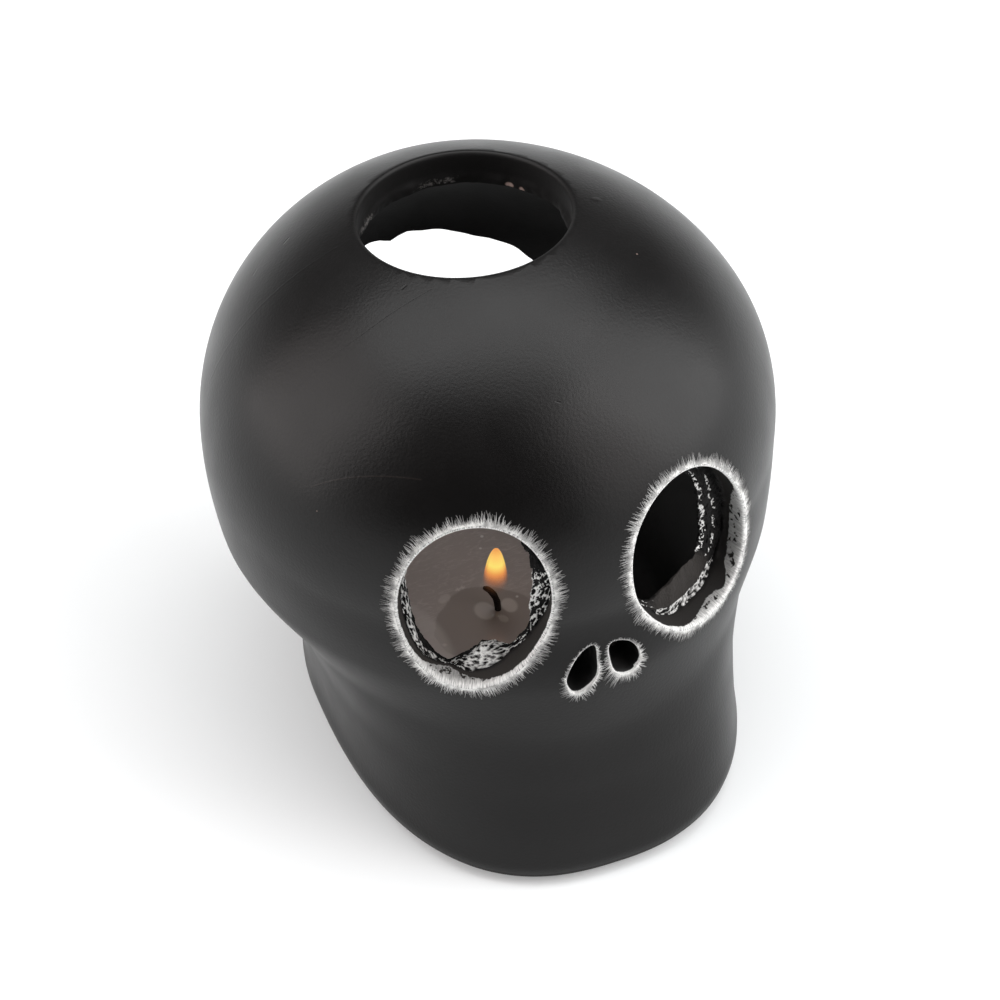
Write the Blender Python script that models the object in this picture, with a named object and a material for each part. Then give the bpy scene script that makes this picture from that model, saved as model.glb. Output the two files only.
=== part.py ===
"""Skull candle holder: a hollow skull of fired clay, open at the top, the eyes, the nose and the back,
with a short pillar candle standing on its floor.

Metres, +Z up, the face looks along -Y. The origin is at the middle of the footprint's box, on the surface
that the skull stands on.
"""

import math

import bmesh
import bpy
from mathutils import Matrix, Vector

# Heights of the shell's rings, from the foot to the crown
CHIN_HEIGHT = 0.0115
MUZZLE_HEIGHT = 0.0269
CHEEK_HEIGHT = 0.0423
TEMPLE_HEIGHT = 0.0577
CRANIUM_HEIGHT = 0.0769
SKULL_HEIGHT = 0.1340

# Half of the width at each ring
FOOT_HALF_WIDTH = 0.0518
CHIN_HALF_WIDTH = 0.0509
MUZZLE_HALF_WIDTH = 0.0524
CHEEK_HALF_WIDTH = 0.0580
TEMPLE_HALF_WIDTH = 0.0681
CRANIUM_HALF_WIDTH = 0.0697

# Reach in front of the cranium's upright axis
FOOT_FRONT = 0.0865
CHIN_FRONT = 0.0834
MUZZLE_FRONT = 0.0782
CHEEK_FRONT = 0.0745
TEMPLE_FRONT = 0.0740
CRANIUM_FRONT = 0.0691

# Reach behind the same axis
FOOT_BACK = 0.0398
CHIN_BACK = 0.0407
MUZZLE_BACK = 0.0476
CHEEK_BACK = 0.0592
TEMPLE_BACK = 0.0762
CRANIUM_BACK = 0.0746

# How square a ring is: 2 is an ellipse, and more fills its corners
JAW_SQUARENESS = 2.47
NAPE_SQUARENESS = 2.25
TEMPLE_SQUARENESS = 1.87
CRANIUM_SQUARENESS = 1.96
DOME_SQUARENESS = 2.13
JAW_MIDDLE = -0.0129  # the jaw is widest this far in front of the cranium's axis

WALL = 0.0088
FLOOR = 0.0062
FOOT_ROUND = 0.0060
INNER_FOOT_ROUND = 0.0060

# Round hole in the crown
CROWN_HOLE_RADIUS = 0.0253
CROWN_HOLE_BEHIND_AXIS = 0.0159

# Oval eyes, cut by hand square to the face and narrowed behind a smooth rim
EYE_HALF_WIDTH = 0.0177
EYE_HALF_HEIGHT = 0.0223
EYE_HEIGHT = 0.0817
EYE_TURN = math.radians(24.0)
RIGHT_EYE_LEAN = math.radians(26.0)
LEFT_EYE_LEAN = math.radians(12.0)
EYE_RIM_DEPTH = 0.0040
EYE_NARROWING = 0.0026

# Teardrop nostrils, wide below and leaning together at the top
NOSE_OFFSET = 0.0011
NOSTRIL_SPREAD = 0.0055
NOSTRIL_TIP_SPREAD = 0.0029
NOSTRIL_HEIGHT = 0.0601
NOSTRIL_TIP_HEIGHT = 0.0672
NOSTRIL_RADIUS = 0.0035
NOSTRIL_TIP_RADIUS = 0.0013

# Wide round-cornered opening in the back, through which the candle goes in
BACK_OPENING_HALF_WIDTH = 0.0390
BACK_OPENING_SILL = 0.0120
BACK_OPENING_TOP = 0.0793
BACK_OPENING_SQUARENESS = 2.6

# Candle
SEAT_GAP = 0.0003
CANDLE_RADIUS = 0.0300
CANDLE_HEIGHT = 0.0180
CANDLE_EDGE_ROUND = 0.0016
CANDLE_X = -0.0043
CANDLE_BEFORE_AXIS = 0.0167
MELT_POOL_RADIUS = 0.0160
MELT_POOL_DEPTH = 0.0008
WICK_RADIUS = 0.00085
WICK_ABOVE_WAX = 0.0078
WICK_LEAN = Vector((-0.0030, 0.0012, 0.0))
WICK_FOOT_DEPTH = 0.0120
WICK_CLEARANCE = 0.0003

# Facets
RING_POINTS = 72
CAVITY_POINTS = 60
LOWER_RINGS = 15
DOME_RINGS = 12
ROUND_STEPS = 4

# The shell's rings: height, half width, reach to the front, reach to the back
STATIONS = (
    (0.0, FOOT_HALF_WIDTH, FOOT_FRONT, FOOT_BACK),
    (CHIN_HEIGHT, CHIN_HALF_WIDTH, CHIN_FRONT, CHIN_BACK),
    (MUZZLE_HEIGHT, MUZZLE_HALF_WIDTH, MUZZLE_FRONT, MUZZLE_BACK),
    (CHEEK_HEIGHT, CHEEK_HALF_WIDTH, CHEEK_FRONT, CHEEK_BACK),
    (TEMPLE_HEIGHT, TEMPLE_HALF_WIDTH, TEMPLE_FRONT, TEMPLE_BACK),
    (CRANIUM_HEIGHT, CRANIUM_HALF_WIDTH, CRANIUM_FRONT, CRANIUM_BACK),
)

CANDLE_Y = -CANDLE_BEFORE_AXIS
CANDLE_BOTTOM = FLOOR + SEAT_GAP
CANDLE_TOP = CANDLE_BOTTOM + CANDLE_HEIGHT


def smooth_through(column, height):
    """The value of a column of STATIONS at a height: a curve through each station that adds no waves."""
    heights = [row[0] for row in STATIONS]
    values = [row[column] for row in STATIONS]
    steps = [b - a for a, b in zip(heights, heights[1:])]
    secants = [(b - a) / step for a, b, step in zip(values, values[1:], steps)]
    slopes = [secants[0]]
    for before, after, left, right in zip(secants, secants[1:], steps, steps[1:]):
        if before * after <= 0:
            slopes.append(0.0)
            continue
        near, far = 2 * right + left, right + 2 * left
        slopes.append((near + far) / (near / before + far / after))
    slopes.append(0.0)
    index = max(i for i in range(len(steps)) if height >= heights[i] or i == 0)
    step = steps[index]
    t = min(max((height - heights[index]) / step, 0.0), 1.0)
    rise = t * t * (3 - 2 * t)
    return (
        values[index] * (1 - rise)
        + values[index + 1] * rise
        + step * (slopes[index] * t * (1 - t) ** 2 - slopes[index + 1] * t * t * (1 - t))
    )


def section(height, inset=0.0):
    """Half width, front, back, middle and the two squarenesses of the skull at a height, moved in by inset."""
    low = min(max(height, 0.0), CRANIUM_HEIGHT)
    share = low / CRANIUM_HEIGHT
    jaw = 1 - share * share * (3 - 2 * share)
    temple = math.exp(-(((low - TEMPLE_HEIGHT) / (CRANIUM_HEIGHT - TEMPLE_HEIGHT)) ** 2) * 2)
    top = SKULL_HEIGHT - inset
    up = min(max((height - CRANIUM_HEIGHT) / (top - CRANIUM_HEIGHT), 0.0), 1.0)
    dome = (1 - up**DOME_SQUARENESS) ** (1 / DOME_SQUARENESS)
    front_squareness = CRANIUM_SQUARENESS + (JAW_SQUARENESS - CRANIUM_SQUARENESS) * jaw
    front_squareness += (TEMPLE_SQUARENESS - front_squareness) * temple
    back_squareness = CRANIUM_SQUARENESS + (NAPE_SQUARENESS - CRANIUM_SQUARENESS) * jaw
    half_width, front, back = ((smooth_through(column, low) - inset) * dome for column in (1, 2, 3))
    return half_width, front, back, JAW_MIDDLE * jaw, front_squareness, back_squareness


def ring(height, inset, count):
    """Points round the skull at a height."""
    half_width, front, back, middle, front_squareness, back_squareness = section(height, inset)
    points = []
    for index in range(count):
        angle = 2 * math.pi * index / count
        c, s = math.cos(angle), math.sin(angle)
        if s < 0:
            power, reach = 2 / front_squareness, front + middle
        else:
            power, reach = 2 / back_squareness, back - middle
        x = half_width * math.copysign(abs(c) ** power, c)
        y = middle + reach * math.copysign(abs(s) ** power, s)
        points.append(Vector((x, y, height)))
    return points


def skull_rings(inset, floor, foot_round, count):
    """Rings of the outer face (inset 0) or of the cavity, from the rounded foot to just under the crown."""
    rings = []
    for step in range(ROUND_STEPS):
        angle = step / ROUND_STEPS * math.pi / 2
        height = floor + foot_round * (1 - math.cos(angle))
        rings.append(ring(height, inset + foot_round * (1 - math.sin(angle)), count))
    start = floor + foot_round
    for step in range(LOWER_RINGS):
        height = start + (CRANIUM_HEIGHT - start) * step / LOWER_RINGS
        rings.append(ring(height, inset, count))
    for step in range(DOME_RINGS):
        up = math.sin(step / DOME_RINGS * math.pi / 2)
        height = CRANIUM_HEIGHT + (SKULL_HEIGHT - inset - CRANIUM_HEIGHT) * up
        rings.append(ring(height, inset, count))
    return rings


def reach(turn, height):
    """How far the outer face is from the cranium's axis, in the direction turned from the face, at a height."""
    half_width, front, back, middle, front_squareness, back_squareness = section(height)
    near, far = 0.0, 2 * SKULL_HEIGHT
    for _ in range(40):
        distance = (near + far) / 2
        x, y = distance * math.sin(turn), -distance * math.cos(turn)
        if y < middle:
            power, length = front_squareness, front + middle
        else:
            power, length = back_squareness, back - middle
        inside = abs(x / half_width) ** power + abs((y - middle) / length) ** power < 1
        near, far = (distance, far) if inside else (near, distance)
    return near


def mesh_object(name, mesh, material=None):
    """A new object for a mesh, shaded smooth across gentle edges."""
    obj = bpy.data.objects.new(name, mesh)
    bpy.context.scene.collection.objects.link(obj)
    if material:
        mesh.materials.append(material)
    mesh.shade_smooth()
    mesh.set_sharp_from_angle(angle=math.radians(40))
    return obj


def loft(name, rings, apex=None):
    """A closed mesh through rings of equally many points, capped flat below and with an apex or a cap above."""
    bm = bmesh.new()
    levels = [[bm.verts.new(point) for point in points] for points in rings]
    for below, above in zip(levels, levels[1:]):
        for index in range(len(below)):
            after = (index + 1) % len(below)
            bm.faces.new((below[index], below[after], above[after], above[index]))
    bm.faces.new(reversed(levels[0]))
    if apex is None:
        bm.faces.new(levels[-1])
    else:
        tip = bm.verts.new(apex)
        for index, point in enumerate(levels[-1]):
            bm.faces.new((point, levels[-1][(index + 1) % len(levels[-1])], tip))
    bmesh.ops.recalc_face_normals(bm, faces=bm.faces)
    mesh = bpy.data.meshes.new(name)
    bm.to_mesh(mesh)
    bm.free()
    return mesh


def cutter(name, mesh):
    """An object that only cuts: it shows as wire and isn't rendered."""
    obj = mesh_object(name, mesh)
    obj.hide_render = True
    obj.display_type = "WIRE"
    return obj


def cut(obj, tool):
    """Takes the cutter's space out of an object."""
    modifier = obj.modifiers.new(tool.name, "BOOLEAN")
    modifier.operation = "DIFFERENCE"
    modifier.object = tool


def paint(name, colour, roughness, metallic=0.0):
    """A plain Principled material."""
    material = bpy.data.materials.new(name)
    material.use_nodes = True
    shader = material.node_tree.nodes["Principled BSDF"]
    shader.inputs["Base Color"].default_value = (*colour, 1.0)
    shader.inputs["Roughness"].default_value = roughness
    shader.inputs["Metallic"].default_value = metallic
    return material


def crown_hole():
    """Upright round cutter through the crown, down into the cavity."""
    bm = bmesh.new()
    bmesh.ops.create_cone(
        bm,
        cap_ends=True,
        segments=RING_POINTS,
        radius1=CROWN_HOLE_RADIUS,
        radius2=CROWN_HOLE_RADIUS,
        depth=SKULL_HEIGHT - CRANIUM_HEIGHT,
        matrix=Matrix.Translation((0, CROWN_HOLE_BEHIND_AXIS, SKULL_HEIGHT)),
    )
    mesh = bpy.data.meshes.new("crown_hole")
    bm.to_mesh(mesh)
    bm.free()
    return cutter("crown_hole", mesh)


def eye_hole(name, side, lean):
    """Oval cutter for one eye, square to the face there: a full rim in front, and narrower behind it."""
    face = reach(EYE_TURN, EYE_HEIGHT)
    outward = Vector((side * math.sin(EYE_TURN), -math.cos(EYE_TURN), 0))
    sideways = Vector((side * math.cos(EYE_TURN), math.sin(EYE_TURN), 0))
    centre = Vector((0, 0, EYE_HEIGHT))
    rings = []
    for distance, narrowing in (
        (face - 2.5 * WALL, EYE_NARROWING),
        (face - WALL, EYE_NARROWING),
        (face - EYE_RIM_DEPTH, 0.0),
        (face + WALL, 0.0),
    ):
        points = []
        for index in range(CAVITY_POINTS):
            angle = 2 * math.pi * index / CAVITY_POINTS
            across = (EYE_HALF_WIDTH - narrowing) * math.cos(angle)
            upward = (EYE_HALF_HEIGHT - narrowing) * math.sin(angle)
            offset = sideways * (across * math.cos(lean) - upward * math.sin(lean))
            offset.z = across * math.sin(lean) + upward * math.cos(lean)
            points.append(centre + outward * distance + offset)
        rings.append(points)
    return cutter(name, loft(name, rings))


def nostril_hole(name, side):
    """Teardrop cutter for one nostril: the outline round a large circle below and a small one above."""
    foot = Vector((NOSE_OFFSET + side * NOSTRIL_SPREAD, NOSTRIL_HEIGHT))
    tip = Vector((NOSE_OFFSET + side * NOSTRIL_TIP_SPREAD, NOSTRIL_TIP_HEIGHT))
    line = tip - foot
    heading = math.atan2(line.y, line.x)
    spread = math.acos((NOSTRIL_RADIUS - NOSTRIL_TIP_RADIUS) / line.length)
    steps = 2 * ROUND_STEPS
    outline = []
    for step in range(steps + 1):
        angle = heading + spread + (2 * math.pi - 2 * spread) * step / steps
        outline.append(foot + NOSTRIL_RADIUS * Vector((math.cos(angle), math.sin(angle))))
    for step in range(steps + 1):
        angle = heading - spread + 2 * spread * step / steps
        outline.append(tip + NOSTRIL_TIP_RADIUS * Vector((math.cos(angle), math.sin(angle))))
    near = -FOOT_FRONT - WALL
    far = -CRANIUM_FRONT + 2 * WALL
    rings = [[Vector((point.x, depth, point.y)) for point in outline] for depth in (near, far)]
    return cutter(name, loft(name, rings))


def back_opening():
    """Wide round-cornered cutter through the back of the skull, level with the ground."""
    middle = (BACK_OPENING_TOP + BACK_OPENING_SILL) / 2
    half_height = (BACK_OPENING_TOP - BACK_OPENING_SILL) / 2
    rings = []
    for depth in (CANDLE_Y + CANDLE_RADIUS - WALL, TEMPLE_BACK + WALL):
        points = []
        for index in range(CAVITY_POINTS):
            angle = 2 * math.pi * index / CAVITY_POINTS
            c, s = math.cos(angle), math.sin(angle)
            power = 2 / BACK_OPENING_SQUARENESS
            x = BACK_OPENING_HALF_WIDTH * math.copysign(abs(c) ** power, c)
            z = middle + half_height * math.copysign(abs(s) ** power, s)
            points.append(Vector((x, depth, z)))
        rings.append(points)
    return cutter("back_opening", loft("back_opening", rings))


def skull_shell():
    """The hollow skull, cast in one piece, with its holes cut while the clay was soft."""
    clay = paint("black_painted_clay", (0.020, 0.019, 0.019), 0.42)
    outer = skull_rings(0.0, 0.0, FOOT_ROUND, RING_POINTS)
    shell = mesh_object(
        "skull_shell", loft("skull_shell", outer, Vector((0, 0, SKULL_HEIGHT))), clay
    )
    inner = skull_rings(WALL, FLOOR, INNER_FOOT_ROUND, CAVITY_POINTS)
    cavity = loft("cavity", inner, Vector((0, 0, SKULL_HEIGHT - WALL)))
    cut(shell, cutter("cavity", cavity))
    cut(shell, crown_hole())
    cut(shell, back_opening())
    cut(shell, eye_hole("left_eye_hole", -1, LEFT_EYE_LEAN))
    cut(shell, eye_hole("right_eye_hole", 1, RIGHT_EYE_LEAN))
    cut(shell, nostril_hole("left_nostril_hole", -1))
    cut(shell, nostril_hole("right_nostril_hole", 1))
    return shell


def turned(name, profile, count):
    """A closed mesh of revolution about Z, from (radius, height) points that start and end on the axis."""
    bm = bmesh.new()
    verts = [bm.verts.new((radius, 0, height)) for radius, height in profile]
    edges = [bm.edges.new(pair) for pair in zip(verts, verts[1:])]
    bmesh.ops.spin(
        bm, geom=verts + edges, axis=(0, 0, 1), cent=(0, 0, 0), angle=2 * math.pi, steps=count, use_merge=True
    )
    bmesh.ops.remove_doubles(bm, verts=bm.verts, dist=1e-6)
    bmesh.ops.recalc_face_normals(bm, faces=bm.faces)
    mesh = bpy.data.meshes.new(name)
    bm.to_mesh(mesh)
    bm.free()
    return mesh


def candle_wax():
    """The stub of a pillar candle: a rounded top edge, a shallow melt pool and the wick's channel."""
    wax = paint("grey_wax", (0.30, 0.27, 0.25), 0.45)
    channel = WICK_RADIUS + WICK_CLEARANCE
    pool = CANDLE_HEIGHT - MELT_POOL_DEPTH
    channel_foot = CANDLE_HEIGHT - WICK_FOOT_DEPTH - WICK_CLEARANCE
    profile = [(0.0, 0.0), (CANDLE_RADIUS, 0.0)]
    for step in range(ROUND_STEPS + 1):
        angle = step / ROUND_STEPS * math.pi / 2
        profile.append(
            (
                CANDLE_RADIUS - CANDLE_EDGE_ROUND * (1 - math.cos(angle)),
                CANDLE_HEIGHT - CANDLE_EDGE_ROUND * (1 - math.sin(angle)),
            )
        )
    profile += [
        (MELT_POOL_RADIUS + MELT_POOL_DEPTH, CANDLE_HEIGHT),
        (MELT_POOL_RADIUS, pool),
        (channel, pool),
        (channel, channel_foot),
        (0.0, channel_foot),
    ]
    candle = mesh_object("candle_wax", turned("candle_wax", profile, CAVITY_POINTS), wax)
    candle.location = (CANDLE_X, CANDLE_Y, CANDLE_BOTTOM)
    return candle


def candle_wick():
    """The burnt wick: a cord that stands in the wax and curls over above it."""
    curve = bpy.data.curves.new("candle_wick", "CURVE")
    curve.dimensions = "3D"
    curve.bevel_depth = WICK_RADIUS
    curve.bevel_resolution = 2
    curve.use_fill_caps = True
    spline = curve.splines.new("POLY")
    straight = 2
    bends = 8
    spline.points.add(straight + bends - 1)
    foot = CANDLE_HEIGHT - WICK_FOOT_DEPTH
    spline.points[0].co = (0, 0, foot, 1)
    for step in range(bends + 1):
        share = step / bends
        lean = WICK_LEAN * share * share
        height = CANDLE_HEIGHT + WICK_ABOVE_WAX * math.sin(share * math.pi / 2) ** 0.9
        spline.points[straight - 1 + step].co = (lean.x, lean.y, height, 1)
    curve.materials.append(paint("burnt_cotton", (0.012, 0.009, 0.008), 0.9))
    wick = bpy.data.objects.new("candle_wick", curve)
    wick.location = (CANDLE_X, CANDLE_Y, CANDLE_BOTTOM)
    bpy.context.scene.collection.objects.link(wick)
    return wick


for old in list(bpy.data.objects):
    bpy.data.objects.remove(old)
skull_shell()
candle_wax()
candle_wick()

# Everything is modelled round the cranium's upright axis. The parts hang on an empty that puts the middle of
# the skull's box over the origin.
front = max(-point.y for points in skull_rings(0.0, 0.0, FOOT_ROUND, RING_POINTS) for point in points)
back = section(BACK_OPENING_TOP)[2]
cranium_axis = bpy.data.objects.new("cranium_axis", None)
cranium_axis.location.y = (front - back) / 2
parts = list(bpy.data.objects)
bpy.context.scene.collection.objects.link(cranium_axis)
for part in parts:
    if part != cranium_axis:
        part.parent = cranium_axis
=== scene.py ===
"""The skull candle holder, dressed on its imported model: black painted clay, silver brushwork, a lit candle.

The sections follow the object as it is put together: its place, camera, studio, skull shell, silver strokes,
candle, wick and flame. Metres, +Z up, the face looks along -Y.
"""

import math

import bpy
import numpy as np
from mathutils import Matrix, Vector, noise
from mathutils.kdtree import KDTree


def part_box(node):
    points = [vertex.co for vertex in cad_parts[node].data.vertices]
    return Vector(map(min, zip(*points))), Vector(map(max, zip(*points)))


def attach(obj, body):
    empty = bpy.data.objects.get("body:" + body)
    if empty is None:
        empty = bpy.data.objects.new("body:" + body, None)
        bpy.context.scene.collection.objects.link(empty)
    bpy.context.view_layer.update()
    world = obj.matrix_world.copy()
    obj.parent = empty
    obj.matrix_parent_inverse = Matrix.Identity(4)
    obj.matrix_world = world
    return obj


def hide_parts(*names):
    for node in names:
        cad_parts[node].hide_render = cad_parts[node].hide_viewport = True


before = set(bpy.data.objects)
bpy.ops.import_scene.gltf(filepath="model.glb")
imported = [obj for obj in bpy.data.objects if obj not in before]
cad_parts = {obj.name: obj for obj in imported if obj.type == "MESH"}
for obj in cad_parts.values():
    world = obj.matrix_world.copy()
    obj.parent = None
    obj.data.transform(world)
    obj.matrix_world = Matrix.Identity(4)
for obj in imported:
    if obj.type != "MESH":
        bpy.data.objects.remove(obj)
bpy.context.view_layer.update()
scene = bpy.context.scene
scene.view_settings.view_transform = "Standard"

# Candle holder's place
# The skull is modelled round the cranium's upright axis, as it is in the CAD model. The candle stands a known
# way in front of that axis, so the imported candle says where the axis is.
CANDLE_BEFORE_AXIS = 0.0167
wax_low, wax_high = (Vector(corner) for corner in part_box("candle_wax"))
candle_middle = (wax_low + wax_high) / 2
AXIS = Vector((0.0, candle_middle.y + CANDLE_BEFORE_AXIS, 0.0))

# Camera
# A long lens looks down on the face from its left, at the height and turn of the photograph.
CAMERA_TURN = math.radians(-20.48)
CAMERA_TILT = math.radians(47.24)
CAMERA_ROLL = math.radians(-0.28)
CAMERA_DISTANCE = 0.87608
CAMERA_LENS = 126.86
AIM_ASIDE = 0.00249
AIM_HEIGHT = 0.04625

turn_c, turn_s = math.cos(CAMERA_TURN), math.sin(CAMERA_TURN)
tilt_c, tilt_s = math.cos(CAMERA_TILT), math.sin(CAMERA_TILT)
backward = Vector((turn_s * tilt_c, -turn_c * tilt_c, tilt_s))
rightward = Vector((turn_c, turn_s, 0.0))
upward = backward.cross(rightward)
rightward, upward = (
    rightward * math.cos(CAMERA_ROLL) + upward * math.sin(CAMERA_ROLL),
    upward * math.cos(CAMERA_ROLL) - rightward * math.sin(CAMERA_ROLL),
)
camera_place = AXIS + Vector((0, 0, AIM_HEIGHT)) + rightward * AIM_ASIDE + backward * CAMERA_DISTANCE
camera_data = bpy.data.cameras.new("camera")
camera_data.sensor_width = 36.0
camera_data.lens = CAMERA_LENS
camera_data.clip_start = 0.02
camera_data.clip_end = 50.0
camera = bpy.data.objects.new("camera", camera_data)
camera_axes = Matrix((rightward, upward, backward)).transposed().to_4x4()
camera.matrix_world = Matrix.Translation(camera_place) @ camera_axes
scene.collection.objects.link(camera)
scene.camera = camera


# Studio
# Wide soft boxes stand left, right and above the back of the skull, on white paper. Matt cloth hangs before
# the face, black, and behind, grey: its reflection is what keeps a satin black face black.
def linear(colour, alpha=1.0):
    """An sRGB hex colour as linear red, green, blue and alpha."""
    channels = [int(colour[i : i + 2], 16) / 255 for i in (1, 3, 5)]
    return tuple(c / 12.92 if c <= 0.04045 else ((c + 0.055) / 1.055) ** 2.4 for c in channels) + (alpha,)


def add_node(tree, kind, inputs=(), **settings):
    """Adds a node, sets its settings, and links or fills its inputs, given by name or in their order.

    A node given as an input stands for its first output in use.
    """
    node = tree.nodes.new(kind)
    for name, value in settings.items():
        setattr(node, name, value)
    for key, value in inputs.items() if isinstance(inputs, dict) else enumerate(inputs):
        if isinstance(key, int):
            target = node.inputs[key]
        else:
            target = next(s for s in node.inputs if s.name == key and s.enabled)
        if isinstance(value, bpy.types.Node):
            value = next(s for s in value.outputs if s.enabled)
        if isinstance(value, bpy.types.NodeSocket):
            tree.links.new(value, target)
        else:
            target.default_value = value
    return node


def new_material(name):
    """An empty node material and its tree."""
    material = bpy.data.materials.new(name)
    material.use_nodes = True
    material.node_tree.nodes.clear()
    return material, material.node_tree


def new_object(name, vertices, faces, material=None, smooth=True):
    """A mesh object in the scene, at the origin, from points in metres."""
    mesh = bpy.data.meshes.new(name)
    mesh.from_pydata([tuple(v) for v in vertices], [], [tuple(f) for f in faces])
    mesh.validate()
    if material:
        mesh.materials.append(material)
    if smooth:
        mesh.shade_smooth()
    obj = bpy.data.objects.new(name, mesh)
    scene.collection.objects.link(obj)
    return obj


def direction(turn, tilt):
    """The way out from the skull: turned from the face towards +X and tilted up, in degrees."""
    turn, tilt = math.radians(turn), math.radians(tilt)
    return Vector((math.sin(turn) * math.cos(tilt), -math.cos(turn) * math.cos(tilt), math.sin(tilt)))


LIGHT_CENTRE = Vector((0.0, 0.0, 0.06))
BOX_DISTANCE = 1.5
WATTS_PER_RADIANCE = 4.0
# Each soft box: turn and tilt in degrees, width and height, brightness and colour
SOFT_BOXES = {
    "left_box": (-107, 26, 1.35, 1.7, 1.75, "#fff7f5"),
    "right_box": (73, 32, 1.1, 1.8, 2.4, "#ffffff"),
    "front_right_box": (42, 34, 0.8, 1.5, 1.12, "#fff5f3"),
    "top_box": (168, 75, 1.8, 1.1, 2.2, "#ffffff"),
}
for name, (turn, tilt, width, height, brightness, colour) in SOFT_BOXES.items():
    data = bpy.data.lights.new(name, "AREA")
    data.shape = "RECTANGLE"
    data.size, data.size_y = width, height
    data.energy = brightness * width * height * WATTS_PER_RADIANCE
    data.color = linear(colour)[:3]
    lamp = bpy.data.objects.new(name, data)
    lamp.location = LIGHT_CENTRE + direction(turn, tilt) * BOX_DISTANCE
    lamp.rotation_euler = direction(turn, tilt).to_track_quat("Z", "Y").to_euler()
    lamp.visible_camera = False
    scene.collection.objects.link(lamp)

CLOTH_DISTANCE = 1.8
CLOTH_ACROSS, CLOTH_UP = 24, 16


def cloth_card(name, turns, tilts, colour):
    """A curved matt cloth that only shows in reflections."""
    points, faces = [], []
    for row in range(CLOTH_UP + 1):
        for column in range(CLOTH_ACROSS + 1):
            turn = turns[0] + (turns[1] - turns[0]) * column / CLOTH_ACROSS
            tilt = tilts[0] + (tilts[1] - tilts[0]) * row / CLOTH_UP
            points.append(LIGHT_CENTRE + direction(turn, tilt) * CLOTH_DISTANCE)
    for row in range(CLOTH_UP):
        for column in range(CLOTH_ACROSS):
            corner = row * (CLOTH_ACROSS + 1) + column
            faces.append((corner, corner + 1, corner + CLOTH_ACROSS + 2, corner + CLOTH_ACROSS + 1))
    cloth, tree = new_material(name)
    shader = add_node(tree, "ShaderNodeBsdfDiffuse", {"Color": linear(colour)})
    add_node(tree, "ShaderNodeOutputMaterial", {"Surface": shader})
    card = new_object(name, points, faces, cloth)
    card.visible_camera = False
    card.visible_diffuse = False
    card.visible_shadow = False


cloth_card("dark_cloth", (-74, 14), (4, 72), "#121212")
cloth_card("grey_cloth", (101, 240), (8, 52), "#626262")


def seen_directly(tree):
    """1 for what the camera, gloss or clear glass looks at, and 0 for what only gives light."""
    path = add_node(tree, "ShaderNodeLightPath").outputs
    rays = (path["Is Camera Ray"], path["Is Glossy Ray"])
    seen = add_node(tree, "ShaderNodeMath", rays, operation="MAXIMUM")
    return add_node(tree, "ShaderNodeMath", (seen, path["Is Transmission Ray"]), operation="MAXIMUM")


UNSEEN_LIGHT = 0.30
world = bpy.data.worlds.new("studio")
scene.world = world
world.use_nodes = True
tree = world.node_tree
tree.nodes.clear()
unseen_light = add_node(tree, "ShaderNodeBackground", {"Color": (1, 1, 1, 1), "Strength": UNSEEN_LIGHT})
seen_light = add_node(tree, "ShaderNodeBackground", {"Color": (1, 1, 1, 1), "Strength": 1.0})
mix = add_node(tree, "ShaderNodeMixShader", (seen_directly(tree), unseen_light, seen_light))
add_node(tree, "ShaderNodeOutputWorld", {"Surface": mix})

# Matt white paper on the table. It takes the soft shadow, and a share of it is plain white to the camera and
# to gloss, so that it runs out into the white behind it.
TABLE_REACH = 6.0
PLAIN_WHITE_SHARE = 0.20
table_paper, tree = new_material("white_table_paper")
share = add_node(tree, "ShaderNodeMath", (seen_directly(tree), PLAIN_WHITE_SHARE), operation="MULTIPLY")
paper = add_node(tree, "ShaderNodeBsdfDiffuse", {"Color": linear("#f7fafb")})
glow = add_node(tree, "ShaderNodeEmission", {"Color": (1, 1, 1, 1), "Strength": 1.0})
mix = add_node(tree, "ShaderNodeMixShader", (share, paper, glow))
add_node(tree, "ShaderNodeOutputMaterial", {"Surface": mix})
corners = [(x * TABLE_REACH, y * TABLE_REACH, 0) for x, y in ((-1, -1), (1, -1), (1, 1), (-1, 1))]
new_object("table_top", corners, [(0, 1, 2, 3)], table_paper, smooth=False)

# Skull shell
# Slip-cast fired clay, hollow, with its holes cut while the clay was soft, so their inner edges are ragged.
# It is painted satin black and dry-brushed with silver round the eyes and nose.
RING_HEIGHTS = (0.0, 0.0115, 0.0269, 0.0423, 0.0577, 0.0769)
HALF_WIDTHS = (0.0518, 0.0509, 0.0524, 0.0580, 0.0681, 0.0697)
FRONTS = (0.0865, 0.0834, 0.0782, 0.0745, 0.0740, 0.0691)
BACKS = (0.0398, 0.0407, 0.0476, 0.0592, 0.0762, 0.0746)
TEMPLE_HEIGHT = RING_HEIGHTS[4]
CRANIUM_HEIGHT = RING_HEIGHTS[5]
SKULL_HEIGHT = 0.1340
JAW_SQUARENESS, NAPE_SQUARENESS = 2.47, 2.25
TEMPLE_SQUARENESS, CRANIUM_SQUARENESS, DOME_SQUARENESS = 1.87, 1.96, 2.13
JAW_MIDDLE = -0.0129
WALL = 0.0088
FLOOR = 0.0062
FOOT_ROUND = 0.0060


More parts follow.
